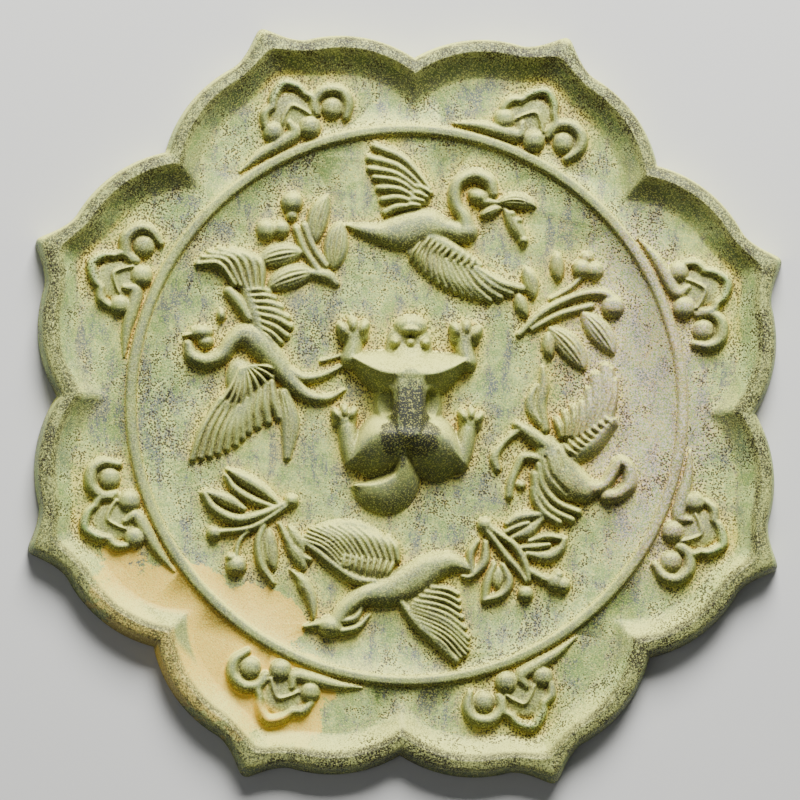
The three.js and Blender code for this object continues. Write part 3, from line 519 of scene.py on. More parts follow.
def carve_upper_left_sprig(relief, h):
    # Two stems side by side
    line = np.array([(-24.4, 37), (-28, 42), (-30.6, 48)], float)
    run = np.gradient(line, axis=0)
    aside = np.stack([-run[:, 1], run[:, 0]], 1) / np.linalg.norm(run, axis=1)[:, None] * 1.2
    for side in (-1, 1):
        relief.stroke([(x, y, 1.2, 0.75 * h) for x, y in line + side * aside])
    relief.leaf((-26.2, 44.6), (-23.2, 57), 2.7, h, 0.08)
    relief.leaf((-21.2, 37.4), (-19.6, 49.6), 3.1, h, 0.02)
    relief.leaf((-30.4, 41), (-42, 38), 3, h, -0.06)
    relief.leaf((-27, 35.6), (-39.2, 31), 3, h, -0.07)
    carve_stems(relief, h, [[(-27, 35.4, 1.4, 0.8), (-23, 34.8, 1.9, 0.9), (-20.4, 32.8, 1.2, 0.6)]])
    carve_buds(relief, h, [(-33, 54.8, 2.7, 1.2), (-33, 51.2, 1.5, 0.8), (-39.8, 47, 2.6, 1.1),
                           (-35.8, 47.4, 2.2, 1)], 1.12)


def carve_upper_right_sprig(relief, h):
    carve_stems(relief, h, [
        [(30.4, 20, 1, 0.6), (37, 26.4, 1.3, 0.8), (46, 31, 1.3, 0.9), (53, 32, 1.5, 0.9),
         (57.6, 29.4, 1.3, 0.8)],
        [(34, 21.6, 1, 0.6), (41, 25.6, 1.2, 0.8), (50, 28.4, 1.2, 0.7)],
    ])
    relief.leaf((48, 26), (56.4, 15.4), 3, h, 0.05)
    relief.leaf((39, 21.6), (48.4, 10.8), 3.1, h, 0.07)
    relief.leaf((38.4, 20.6), (39.2, 13.6), 1.7, h, -0.05)
    relief.leaf((41, 35.4), (40.4, 43), 1.8, h, 0.02)
    relief.leaf((34, 30.4), (31.6, 38.6), 2, h, -0.04)
    relief.leaf((32.2, 25.2), (29.8, 31.4), 1.7, h, 0.05)
    carve_stems(relief, h, [[(39, 30, 0.8, 0.5), (44, 33, 0.9, 0.6), (47, 36, 0.9, 0.7)]])
    carve_buds(relief, h, [(56, 28.4, 2.9, 1.1), (47.4, 38.6, 2.5, 1.1), (50.8, 38.2, 2.3, 1),
                           (48.6, 41.6, 1.7, 0.8)], 1.12)


def carve_lower_left_sprig(relief, h):
    """Two split leaves, two stems with buds and the hanging leaves."""
    carve_stems(relief, h, [
        [(-34.8, -28.4, 0.9, 0.7), (-39.6, -24.6, 1.8, 1), (-44.4, -21.8, 2, 1.1),
         (-48.8, -19.4, 0.8, 0.8)],
        [(-35.6, -29.4, 0.8, 0.7), (-42, -27.4, 1.4, 0.9), (-47, -24.4, 1.3, 0.9),
         (-49.4, -21, 0.8, 0.8)],
        [(-44.4, -30, 1, 0.8), (-49, -27.6, 2.1, 1.05), (-54.6, -25.6, 1, 0.8)],
        [(-33.4, -28.4, 1, 0.8), (-39.9, -31.5, 1.5, 1.1), (-46.3, -32.9, 1.7, 1.1),
         (-52.3, -30.2, 1.5, 1.05), (-55.4, -26, 1, 0.9)],
        [(-32, -28.4, 1, 0.8), (-39.4, -33.6, 1.1, 0.9), (-44.4, -35.6, 1.1, 0.9),
         (-51.3, -36.4, 1.1, 0.8)],
        [(-38.6, -34, 0.8, 0.7), (-43.4, -36.4, 0.9, 0.7), (-45.6, -39.4, 0.8, 0.7),
         (-46.2, -43, 0.9, 0.7)],
        [(-38.8, -34.4, 1, 0.8), (-40.2, -39, 1.3, 1), (-39.2, -45, 1.4, 1), (-36, -50, 0.9, 0.8)],
    ])
    relief.leaf((-37.4, -35.6), (-35.6, -46.4), 2.1, 0.9 * h, -0.04)
    carve_stems(relief, h, [
        [(-34.4, -34, 0.8, 0.7), (-31.8, -38.8, 1.3, 0.9), (-29.4, -42, 1.3, 0.9), (-26, -43.4, 0.9, 0.7)],
    ])
    relief.leaf((-32, -34.4), (-27.4, -41.4), 1.6, 0.9 * h, 0.0)
    carve_buds(relief, h, [(-31.4, -27.4, 2, 1), (-52.3, -36.8, 2.1, 0.95), (-46.1, -45.6, 2.9, 1.1),
                           (-47.6, -43.4, 1.4, 0.9)])


def carve_lower_right_sprig(relief, h):
    """Two stems with buds, split leaves to the right and hanging ones below."""
    carve_stems(relief, h, [
        [(22.6, -33, 1.4, 0.9), (25.6, -35.2, 1.2, 1), (30.2, -38.4, 1.3, 1), (33, -43, 1.3, 1),
         (34.2, -47.6, 0.9, 0.8)],
        [(22.2, -34.2, 1.2, 0.9), (24.3, -36.6, 1.2, 0.9), (28.2, -41.6, 1.2, 0.9), (31, -44.6, 1.1, 0.9),
         (33.4, -48, 0.8, 0.7)],
        [(34.2, -45, 1.2, 0.8), (38, -47, 1.4, 0.9), (40.4, -47.6, 1.2, 0.8)],
        [(28, -32.4, 1, 0.8), (31.6, -30.4, 1.8, 1.05), (37.2, -29.6, 1.2, 0.9)],
        [(27.6, -34.6, 0.9, 0.8), (31, -33, 1.1, 1), (33.8, -32, 0.9, 0.9)],
        [(29.6, -36, 1, 0.8), (34, -34.2, 1.9, 0.95), (37.6, -30.6, 1, 0.8)],
        [(34.2, -37, 0.9, 0.8), (38.8, -35.6, 1.3, 1), (43, -36, 1.1, 0.9)],
        [(32, -38.8, 0.9, 0.8), (36.4, -38.4, 1.2, 1.05), (39.6, -37.8, 0.9, 0.9)],
        [(33.6, -40.4, 1.1, 0.8), (39.2, -41, 2, 0.95), (42.6, -39, 1.5, 0.95), (43.8, -36.2, 0.9, 0.9)],
        [(19.8, -37.4, 1, 0.8), (18, -41.2, 1.3, 0.95), (18.8, -46.4, 1, 0.8)],
        [(22.2, -37.6, 1, 0.8), (21.8, -43, 1.5, 1), (18.4, -47, 1.1, 0.9), (16, -47, 0.8, 0.7)],
        [(24.6, -43.6, 1, 0.8), (22.8, -48.6, 1.4, 0.95), (22.2, -53, 1.2, 0.8)],
        [(27, -43.8, 1, 0.8), (28.8, -48.2, 1.4, 1), (26.8, -51.8, 1.4, 1), (22.2, -53.4, 1.1, 0.9)],
    ])
    relief.leaf((26, -44.6), (25.6, -50.4), 1.6, 0.7 * h, 0.0)
    carve_buds(relief, h, [(21.8, -32.7, 2.1, 0.95), (33.4, -51.4, 2.3, 0.95), (41.4, -48, 2.6, 1.05),
                           (43.6, -48.8, 2.2, 1), (42.2, -46.2, 1.6, 0.9)])


def carve_cloud(relief, h, turn):
    """One cloud of height h, drawn with y outward through the lobe's tip and turned to its lobe."""
    cos = math.cos(turn)
    sin = math.sin(turn)

    def place(x, y):
        return x * cos - y * sin, x * sin + y * cos

    def placed(stations):
        return [(*place(x, y), w, up * h) for x, y, w, up in stations]

    relief.dome(*place(-1, 87), 6.5, 5.5, 0.5 * h, power=0.4)
    relief.stroke(placed([(-8.6, 85.8, 1.2, 0.8), (-7.6, 88.6, 1.5, 1), (-4.9, 90, 1.4, 1)]))
    relief.stroke(placed([(-5, 89.6, 1.2, 1), (-3.4, 92.4, 1.5, 1.05), (0.2, 94.8, 1.6, 1.05),
                          (3.6, 92.6, 1.4, 1.05), (4.8, 90, 1.2, 1)]))
    relief.stroke(placed([(4.6, 90.2, 1.2, 1), (6.2, 88, 1.4, 1), (5.4, 85, 1.3, 0.9)]))
    relief.stroke(placed([(-4.2, 84.6, 1.2, 0.9), (-2.6, 86.4, 1.2, 0.95), (0, 88.2, 1.3, 1),
                          (2.2, 86.6, 1.2, 0.95), (4, 84.2, 1.2, 0.9)]), ridge_section)
    relief.dome(*place(-7.2, 83.2), 3, 3, 1.2 * h, power=0.5)
    relief.dome(*place(2.6, 81), 3.2, 3.2, 1.3 * h, power=0.5)
    relief.dome(*place(10.4, 83.8), 3.2, 3.2, 1.1 * h, power=0.5)
    relief.stroke(placed([(5.8, 84, 1.4, 0.8), (6.8, 87.4, 1.7, 1), (10.4, 89, 1.9, 1.2),
                          (14.2, 87.2, 1.9, 1.2), (15, 83.6, 1.7, 1.1), (13, 80, 1.2, 0.8)]))
    relief.stroke(placed([(-2.2, 84, 1.2, 0.9), (-1.8, 80.8, 2, 1), (-7, 79.6, 2, 0.95),
                          (-13, 78.6, 1.5, 0.75), (-19.6, 76.4, 0.5, 0.3)]))


def carve_relief(form):
    """The whole back inside the rim, from the sizes that a user can set."""
    relief = Relief(TIP_RADIUS + 2.0, RELIEF_STEP)
    sprig = in_millimetres(form.sprig)
    carve_upper_left_sprig(relief, sprig)
    carve_upper_right_sprig(relief, sprig)
    carve_lower_left_sprig(relief, sprig)
    carve_lower_right_sprig(relief, sprig)
    bird = in_millimetres(form.bird)
    carve_top_bird(relief, bird)
    carve_left_bird(relief, bird)
    carve_bottom_bird(relief, bird)
    carve_right_bird(relief, bird)
    for lobe in range(LOBES):
        carve_cloud(relief, in_millimetres(form.cloud), (2 * lobe + 1) * math.pi / LOBES - math.pi / 2)
    carve_beast(relief, in_millimetres(form.knob))
    relief.soften(CAST_SOFTNESS)
    return relief


# The plate: rows of points round the mirror, each following its outline or a circle


def half_lobe(inset):
    """Bearing from the tip and radius of half a lobe, inside the outline by the inset."""
    half = math.pi / LOBES
    crown = np.array((0.0, TIP_RADIUS - TIP_RISE))
    notch = np.array((math.sin(half), math.cos(half))) * (TIP_RADIUS - NOTCH_DEPTH)
    chord = notch - crown
    length = np.linalg.norm(chord)
    radius = length * LOBE_ROUNDNESS
    normal = np.array((-chord[1], chord[0])) / length
    centre = (crown + notch) / 2 - normal * math.sqrt(radius ** 2 - (length / 2) ** 2)
    inner = radius - inset
    ray = notch / np.linalg.norm(notch)
    along = centre @ ray
    reach = along + math.sqrt(inner ** 2 - centre @ centre + along ** 2)
    end = ray * reach - centre
    angle = np.linspace(math.asin(-centre[0] / inner), math.atan2(end[0], end[1]), 400)
    x = centre[0] + inner * np.sin(angle)
    rise = mix(TIP_RISE, TIP_RISE * 0.65, smoothstep(0.0, RIM_LIP, inset))
    from_middle = np.hypot(x, TIP_BLUNTNESS) - TIP_BLUNTNESS
    tip = rise * np.clip(1.0 - from_middle / (TIP_FLARE + inset * 0.2), 0.0, 1.0) ** 1.8
    y = centre[1] + inner * np.cos(angle) + tip
    return np.arctan2(x, y), np.hypot(x, y)


def lobed_radius(inset, bearings):
    """Radius of the inset outline at each bearing round the mirror."""
    angle, radius = half_lobe(inset)
    width = 2 * math.pi / LOBES
    from_tip = np.abs((bearings % width) - width / 2)
    return np.interp(from_tip, angle, radius)


def rim_profile():
    """Inset and height of the rows from the face up the wall, over the lip and down to the field."""
    crest = RIM_DRAFT + RIM_LIP
    corners = [(EDGE_BEVEL, 0.0), (0.0, EDGE_BEVEL), (RIM_DRAFT * 0.2, 2.6), (RIM_DRAFT * 0.6, 5.0),
               (RIM_DRAFT, RIM_HEIGHT - 1.7), (RIM_DRAFT + 0.8, RIM_HEIGHT - 0.7),
               (RIM_DRAFT + 2.0, RIM_HEIGHT - 0.25), (crest - 0.4, RIM_HEIGHT), (crest, RIM_HEIGHT - 0.2)]
    path = smooth_path([(inset, z, 0.0, 0.0) for inset, z in corners], 8)[:, :2]
    rows = [tuple(p) for p in path[8:]]
    for share in np.arange(0.0, 1.0, ROW_STEP / RIM_SLOPE)[1:]:
        drop = (1.0 - share) ** 1.35
        rows.append((crest + RIM_SLOPE * share, PLATE + (RIM_HEIGHT - 0.2 - PLATE) * drop))
    return [corners[0]] + rows


def ring_ridge(radius, height):
    across = np.abs(radius - RING_RADIUS) / (RING_WIDTH / 2)
    return height * np.clip(1.0 - across ** 3, 0.0, 1.0) ** 0.7


def mirror_rows(relief, ring_height):
    """Rows of points from the middle of the face out, over the rim and in to the middle of the back."""
    rows = []

    def bearings(count):
        return np.arange(count) * (2 * math.pi / count)

    def add(radius, z, count, carved):
        angle = bearings(count)
        radius = np.broadcast_to(radius, angle.shape)
        x = radius * np.cos(angle)
        y = radius * np.sin(angle)
        carving = ring_ridge(radius, ring_height) + relief.at(x, y) if carved else 0.0
        rows.append(np.stack([x, y, np.broadcast_to(z, angle.shape) + carving], 1))

    for count, radius in ((ROUND_COUNT // 32, 3.0), (ROUND_COUNT // 16, 8.0), (ROUND_COUNT // 8, 20.0),
                          (ROUND_COUNT // 4, 40.0), (ROUND_COUNT // 2, 65.0), (ROUND_COUNT, 85.0)):
        add(radius, 0.0, count, False)
    for inset, z in rim_profile():
        add(lobed_radius(inset, bearings(ROUND_COUNT)), z, ROUND_COUNT, inset > RIM_DRAFT)
    foot = lobed_radius(RIM_DRAFT + RIM_LIP + RIM_SLOPE, bearings(ROUND_COUNT))
    band_edge = RING_RADIUS + 2.0
    band_rows = int((foot.max() - band_edge) / ROW_STEP)
    for share in np.linspace(0.0, 1.0, band_rows, endpoint=False):
        add(mix(foot, band_edge, share), PLATE, ROUND_COUNT, True)
    radius = band_edge
    count = ROUND_COUNT
    while radius > 2.0:
        if 2 * math.pi * radius / count < ROW_STEP * 0.5:
            count //= 2
        add(radius, PLATE, count, True)
        radius -= ROW_STEP
    return rows


def join_rows(rows):
    """Vertices and triangles through rows that keep or halve or double their count."""
    start = np.cumsum([0] + [len(row) for row in rows])
    triangles = []
    for k in range(len(rows) - 1):
        n, m = len(rows[k]), len(rows[k + 1])
        a, b = start[k], start[k + 1]
        i = np.arange(min(n, m))
        if n == m:
            j = (i + 1) % n
            triangles += [np.stack([a + i, a + j, b + j], 1), np.stack([a + i, b + j, b + i], 1)]
        elif m == 2 * n:
            j = (i + 1) % n
            f0, f1, f2 = 2 * i, 2 * i + 1, (2 * i + 2) % m
            triangles += [np.stack([a + i, b + f1, b + f0], 1), np.stack([a + i, a + j, b + f1], 1),
                          np.stack([a + j, b + f2, b + f1], 1)]
        else:
            j = (i + 1) % m
            f0, f1, f2 = 2 * i, 2 * i + 1, (2 * i + 2) % n
            triangles += [np.stack([a + f0, a + f1, b + i], 1), np.stack([a + f1, b + j, b + i], 1),
                          np.stack([a + f1, a + f2, b + j], 1)]
    points = np.concatenate(rows + [rows[0].mean(0)[None], rows[-1].mean(0)[None]])
    face_middle, back_middle = len(points) - 2, len(points) - 1
    first = np.arange(len(rows[0]))
    last = np.arange(len(rows[-1]))
    triangles.append(np.stack([np.full_like(first, face_middle), (first + 1) % len(first), first], 1))
    triangles.append(np.stack([np.full_like(last, back_middle), start[-2] + last,
                               start[-2] + (last + 1) % len(last)], 1))
    return points, np.concatenate(triangles)


def mesh_from_triangles(name, points, triangles):
    mesh = bpy.data.meshes.new(name)
    mesh.vertices.add(len(points))
    mesh.vertices.foreach_set("co", np.ascontiguousarray(points, np.float32).ravel())
    mesh.loops.add(len(triangles) * 3)
    mesh.loops.foreach_set("vertex_index", np.ascontiguousarray(triangles, np.int32).ravel())
    mesh.polygons.add(len(triangles))
    mesh.polygons.foreach_set("loop_start", np.arange(0, len(triangles) * 3, 3, dtype=np.int32))
    mesh.update(calc_edges=True)
    return mesh


def apply_modifiers(obj):
    """Makes the modified mesh the object's own."""
    graph = bpy.context.evaluated_depsgraph_get()
    finished = bpy.data.meshes.new_from_object(obj.evaluated_get(graph))
    obj.modifiers.clear()
    obj.data = finished


def cord_hole_cutter(form):
    """An oval bar through the beast's waist."""
    angle = np.arange(HOLE_CORNERS) * (2 * math.pi / HOLE_CORNERS)
    y = in_millimetres(form.hole_width) / 2 * np.cos(angle)
    z = PLATE + in_millimetres(form.hole_lift) + in_millimetres(form.hole_height) / 2 * np.sin(angle)
    ends = [np.stack([np.full(HOLE_CORNERS, x), y, z], 1) for x in (-HOLE_REACH, HOLE_REACH)]
    points, triangles = join_rows(ends)
    return mesh_from_triangles("cord_hole", points * MM, triangles)


def build_casting(form):
    """The carved casting as one closed mesh with the cord hole cut through it."""
    rows = mirror_rows(carve_relief(form), in_millimetres(form.ring))
    points, triangles = join_rows(rows)
    mesh = mesh_from_triangles("mirror_casting", points * MM, triangles)
    casting = bpy.data.objects.new("mirror_casting", mesh)
    bpy.context.scene.collection.objects.link(casting)
    keep = casting.modifiers.new("Keep faces", "DECIMATE")
    keep.ratio = FACES_KEPT / len(triangles)
    apply_modifiers(casting)
    cutter = bpy.data.objects.new("cord_hole", cord_hole_cutter(form))
    bpy.context.scene.collection.objects.link(cutter)
    cut = casting.modifiers.new("Cord hole", "BOOLEAN")
    cut.operation = "DIFFERENCE"
    cut.solver = "MANIFOLD"
    cut.object = cutter
    apply_modifiers(casting)
    bpy.data.objects.remove(cutter)
    casting.data.shade_smooth()
    return casting


# Finish

# How many rays feel round a point for the hollow and crest masks
HOLLOW_RAYS = 4


class Link:
    """A socket that takes part in Python expressions on values."""

    def __init__(self, wiring, socket):
        self.wiring = wiring
        self.socket = socket

    def math(self, operation, *others, clamp=False):
        values = (self, *others)
        return self.wiring.node("ShaderNodeMath", {"operation": operation, "use_clamp": clamp},
                                dict(enumerate(values)))

    def __add__(self, other):
        return self.math("ADD", other)

    __radd__ = __add__

    def __mul__(self, other):
        return self.math("MULTIPLY", other)

    __rmul__ = __mul__

    def __sub__(self, other):
        return self.math("SUBTRACT", other)

    def __rsub__(self, other):
        return self.wiring.node("ShaderNodeMath", {"operation": "SUBTRACT"}, {0: other, 1: self})

    def clamp(self):
        return self.math("ADD", 0.0, clamp=True)


class Wiring:
    """Adds nodes to one material."""

    def __init__(self, material):
        material.use_nodes = True
        self.tree = material.node_tree
        self.tree.nodes.clear()

    def node(self, kind, settings=None, values=None, output=0):
        made = self.tree.nodes.new(kind)
        for name, setting in (settings or {}).items():
            setattr(made, name, setting)
        for socket, value in (values or {}).items():
            if isinstance(value, Link):
                self.tree.links.new(value.socket, made.inputs[socket])
            else:
                made.inputs[socket].default_value = value
        return Link(self, made.outputs[output]) if made.outputs else None

    def window(self, value, low, high):
        """0 below low, 1 above high and smooth between; swapped ends turn it round."""
        return self.node("ShaderNodeMapRange", {"interpolation_type": "SMOOTHSTEP"},
                         {"Value": value, "From Min": low, "From Max": high})

    def noise(self, place, scale, detail=4.0, roughness=0.55, distortion=0.0):
        return self.node("ShaderNodeTexNoise", {}, {"Vector": place, "Scale": scale, "Detail": detail,
                                                    "Roughness": roughness, "Distortion": distortion})

    def cells(self, place, scale):
        """Distance to the nearest of many scattered points."""
        return self.node("ShaderNodeTexVoronoi", {"feature": "F1"}, {"Vector": place, "Scale": scale})

    def closed_in(self, distance, inside=False):
        """How far the surface lies in a hollow, or, looked at from inside, on a crest."""
        settings = {"samples": HOLLOW_RAYS, "only_local": True, "inside": inside}
        return 1.0 - self.node("ShaderNodeAmbientOcclusion", settings, {"Distance": distance}, 1)

    def coordinate(self, vector, axis):
        return self.node("ShaderNodeSeparateXYZ", {}, {0: vector}, axis)

    def length(self, vector):
        return self.node("ShaderNodeVectorMath", {"operation": "LENGTH"}, {0: vector}, 1)

    def stretched(self, place, scale, turn):
        return self.node("ShaderNodeMapping", {"vector_type": "POINT"},
                         {"Vector": place, "Rotation": (0.0, 0.0, turn), "Scale": scale})

    def blend(self, factor, under, over):
        """One colour over another by a factor."""
        return self.node("ShaderNodeMix", {"data_type": "RGBA"}, {0: factor, 6: under, 7: over}, 2)


def colour(r, g, b):
    """A screen colour of 0 to 255 as linear light."""
    def linear(c):
        c /= 255.0
        return c / 12.92 if c <= 0.04045 else ((c + 0.055) / 1.055) ** 2.4
    return (linear(r), linear(g), linear(b), 1.0)


# Ovals on the back where a finish lies: the middle's x and y, half width, half height and turn
EARTH_OVAL = (-52.0, -69.0, 42.0, 20.0, -0.6)
EARTH_TONGUE = (-36.0, -57.0, 12.0, 6.0, -0.6)
SILVER_OVAL = (64.0, 4.0, 20.0, 50.0, 0.1)
BROWN_OVAL = (60.0, 4.0, 26.0, 54.0, 0.1)
WORN_OVAL = (0.6, -9.0, 9.0, 17.0, 0.0)

# How closed in the open ground is, from 0 to 1
OPEN_GROUND = 0.08


class Patina:
    """The bronze's skin, laid on coat by coat over noises and masks that run from 0 to 1."""

    def __init__(self, material, look):
        self.look = look
        self.wiring = w = Wiring(material)
        self.place = place = w.node("ShaderNodeTexCoord", output=3)
        self.z = w.coordinate(place, 2)
        # How far the surface faces down the drawing, away from the key light; the painted light and shade
        # below follow it
        self.down = 0.0 - w.coordinate(w.node("ShaderNodeNewGeometry", output=1), 1)
        self.hollow = w.closed_in(4.5 * MM)
        self.crest = w.closed_in(1.2 * MM, inside=True)

        # Noises, with how often each repeats in a millimetre; the uneven ones run about 0
        per_mm = 1.0 / MM
        self.wander = w.noise(place, 0.06 * per_mm, 5.0, 0.6) - 0.5
        self.broad = w.noise(place, 0.035 * per_mm, 3.0, 0.6) - 0.5
        self.cloudy = w.noise(place, 0.2 * per_mm, 7.0, 0.7)
        self.uneven = self.cloudy - 0.5
        self.streaky = w.noise(w.stretched(place, (1.0, 0.22, 1.0), -0.15), 0.3 * per_mm, 7.0, 0.7, 0.3)
        self.grain = w.noise(place, 1.7 * per_mm, 3.0, 0.8)
        self.rough = self.grain - 0.5
        self.speck = w.noise(place, 2.4 * per_mm, 1.0, 0.6)
        self.scattered = w.cells(place, 1.75 * per_mm)

        # Where on the casting: the rim's lip, raised forms of any kind, and those inside the rim
        from_middle = w.length(place)
        self.rim = self.between(self.z, 6.2, 7.6) * self.between(from_middle, 70.0, 80.0)
        self.raised = self.between(self.z + self.rough * (0.6 * MM), 3.4, 4.1)
        self.carved = self.raised * self.between(from_middle, 93.0, 90.0) * (1.0 - self.rim)

    def between(self, length, low, high):
        """0 to 1 from one distance in millimetres to another."""
        return self.wiring.window(length, low * MM, high * MM)

    def patch(self, x, y, half_width, half_height, turn):
        """1 within an oval on the back, fading over its border."""
        spot = self.wiring.node("ShaderNodeMapping", {"vector_type": "TEXTURE"}, {
            "Vector": self.place,
            "Location": (x * MM, y * MM, 0.0),
            "Rotation": (0.0, 0.0, turn),
            "Scale": (half_width * MM, half_height * MM, 1.0),
        })
        return self.wiring.window(self.wiring.length(spot) + self.wander * 0.9, 1.15, 0.55)

    def coat(self, share, name):
        """Lays one of the look's colours over what is there."""
        self.colour = self.wiring.blend(share, self.colour, tuple(getattr(self.look, name)))

    def skin(self):
        """Green ground and olive relief, with grey streaks and smears over both."""
        w = self.wiring
        self.colour = w.blend(w.window(self.cloudy, 0.38, 0.6), tuple(self.look.green),
                              tuple(self.look.pale_green))
        self.coat(self.carved * 0.6, "olive")
        blotchy = w.noise(self.place, 0.14 / MM, 5.0, 0.65, 0.6)
        streak = w.window(self.streaky * 0.6 + blotchy * 0.4 + self.rough * 0.4, 0.49, 0.55)
        self.coat(streak * (0.8 - self.raised * 0.4), "blue_grey")

    def earth(self):
        """Yellow beside the relief, rusty in the deepest hollows, tan over the lower left."""
        w = self.wiring
        halo = w.window(self.hollow + self.uneven * 0.5 + self.rough * 0.9, 0.03, 0.2)
        self.coat(halo * (1.0 - self.raised * 0.75) * 0.9, "pale_earth")
        rust = w.window(self.hollow + self.rough * 1.3, 0.32, 0.52)
        self.coat(rust * (1.0 - self.carved * 0.75) * 0.6, "dark_earth")
        spread = (self.patch(*EARTH_OVAL) + self.patch(*EARTH_TONGUE)).clamp()
        spread = w.window(spread + self.uneven * 2.0 + self.rough * 0.4, 0.4, 0.48)
        self.spread = spread * (1.0 - self.carved)
        self.coat(self.spread * 0.9, "tan_earth")

    def bright_side(self):
        """Silvery and brown grains on the right."""
        w = self.wiring
        self.coat(self.patch(*SILVER_OVAL) * w.window(self.grain, 0.49, 0.53) * 0.8, "silver")
        brown = w.window(self.speck + self.uneven * 0.6, 0.52, 0.58)
        self.coat(self.patch(*BROWN_OVAL) * brown * 0.45, "dark_earth")

    def painted_light_and_wear(self):
        """Painted light on the sides that face the key light and on crests, a dark-speckled lip, bare metal
        on the knob's back, and painted shade on the lower sides and in the relief's hollows.
        """
        w = self.wiring
        # Painted light: paler where the surface faces up the drawing, toward the key light, and on crests
        up = w.window(self.rough * 0.9 - self.down + self.crest * 0.3, 0.24, 0.62)
        self.coat(up * 0.8, "dust_and_painted_light")
        self.coat(self.rim * 0.5, "lip")
        # Dark worn patches on the lip, a little fewer where it faces down the drawing, away from the key
        # light: painted light that lightens its shaded side
        speckled = self.cloudy * 0.6 + self.streaky * 0.4 + self.rough * 1.3 - self.down * 0.12
        self.coat(self.rim * w.window(speckled, 0.38, 0.52) * 0.85, "grime_and_painted_shade")
        back = self.patch(*WORN_OVAL) * self.between(self.z, 8.5, 12.5) * w.window(self.cloudy, 0.3, 0.52)
        self.worn = w.window(self.crest * 0.4 + self.rough * 1.3 + back + self.carved * 0.04, 0.4, 0.62)
        self.coat(self.worn * 0.9, "worn_metal")
        # Painted shade: darker in the hollows of the carved relief, such as its grooves and the cord hole
        groove = w.window(self.hollow + self.rough * 0.8, 0.2, 0.5) * self.carved
        self.coat(groove * 0.7, "grime_and_painted_shade")
        # Painted shade: darker where the surface faces down the drawing, away from the key light, less on
        # the rim and on high parts
        grime_and_painted_shade = w.window(self.down + self.rough * 0.9, 0.16, 0.6)
        high = self.between(self.z, 6.0, 9.0)
        self.coat(grime_and_painted_shade * (1.0 - self.rim * 0.5) * (0.75 - high * 0.25), "grime_and_painted_shade")

    def pits(self, hollow):
        """Pits, which crowd where the surface is closed in."""
        w = self.wiring
        crowd = w.window(self.uneven * 1.4 + self.broad * 0.8 + hollow, -0.2, 0.2) * 0.5
        return w.window(self.scattered + self.rough * 0.3 - crowd, 0.02, -0.06) * (1.0 - self.spread * 0.9)

    def pits_and_grains(self):
        w = self.wiring
        dots = w.cells(self.place, 2.3 / MM)
        self.coat(w.window(dots + self.uneven * 0.6, 0.4, 0.2) * 0.35, "pit")
        self.coat(w.window(self.speck, 0.54, 0.64) * 0.45, "dust_and_painted_light")
        self.coat(self.pits(self.hollow) * (0.9 - self.carved * 0.5), "pit")

    def surface(self):
        """The shader, with a fine bump of grains and of pits as open ground has them."""
        w = self.wiring
        height = self.grain * 0.6 + self.speck * 0.35 + self.cloudy * 0.4 - self.pits(OPEN_GROUND)
        bump = w.node("ShaderNodeBump", {}, {"Strength": 0.6, "Distance": 0.3 * MM, "Height": height})
        shader = w.node("ShaderNodeBsdfPrincipled", {}, {
            "Base Color": self.colour,
            "Roughness": 0.6 + self.rough * 0.3,
            "Metallic": self.worn * 0.3,
            "Normal": bump,
        })
        w.node("ShaderNodeOutputMaterial", {}, {"Surface": shader})


def patina_material(look):
    material = bpy.data.materials.new("bronze_patina")
    patina = Patina(material, look)
    patina.skin()
    patina.earth()
    patina.bright_side()
    patina.painted_light_and_wear()
    patina.pits_and_grains()
    patina.surface()
    return material


def length_setting(name, description, millimetres):
    """A size that a user can set, shown in the scene's unit of length."""
    return FloatProperty(name=name, description=description, default=millimetres * MM, min=0.0,
                         unit="LENGTH")


def colour_setting(name, description, r, g, b):
    """A colour that a user can set, given as a screen colour."""
    return FloatVectorProperty(name=name, description=description, subtype="COLOR", size=4,
                               default=colour(r, g, b), min=0.0, max=1.0)


class MirrorForm(bpy.types.PropertyGroup):
    """Sizes of the carving and the cord hole."""

    knob: length_setting("Knob", "Height of the beast above the field", 12.4)
    bird: length_setting("Birds", "Height of the birds above the field", 3.2)
    sprig: length_setting("Sprigs", "Height of the sprigs above the field", 2.7)
    cloud: length_setting("Clouds", "Height of the clouds above the border", 2.6)
    ring: length_setting("Ring", "Height of the ring between field and border", 1.6)
    hole_width: length_setting("Hole width", "Width of the cord hole", 7.6)
    hole_height: length_setting("Hole height", "Height of the cord hole", 6.4)
    hole_lift: length_setting("Hole lift", "Height of the hole's middle above the field", 6.0)


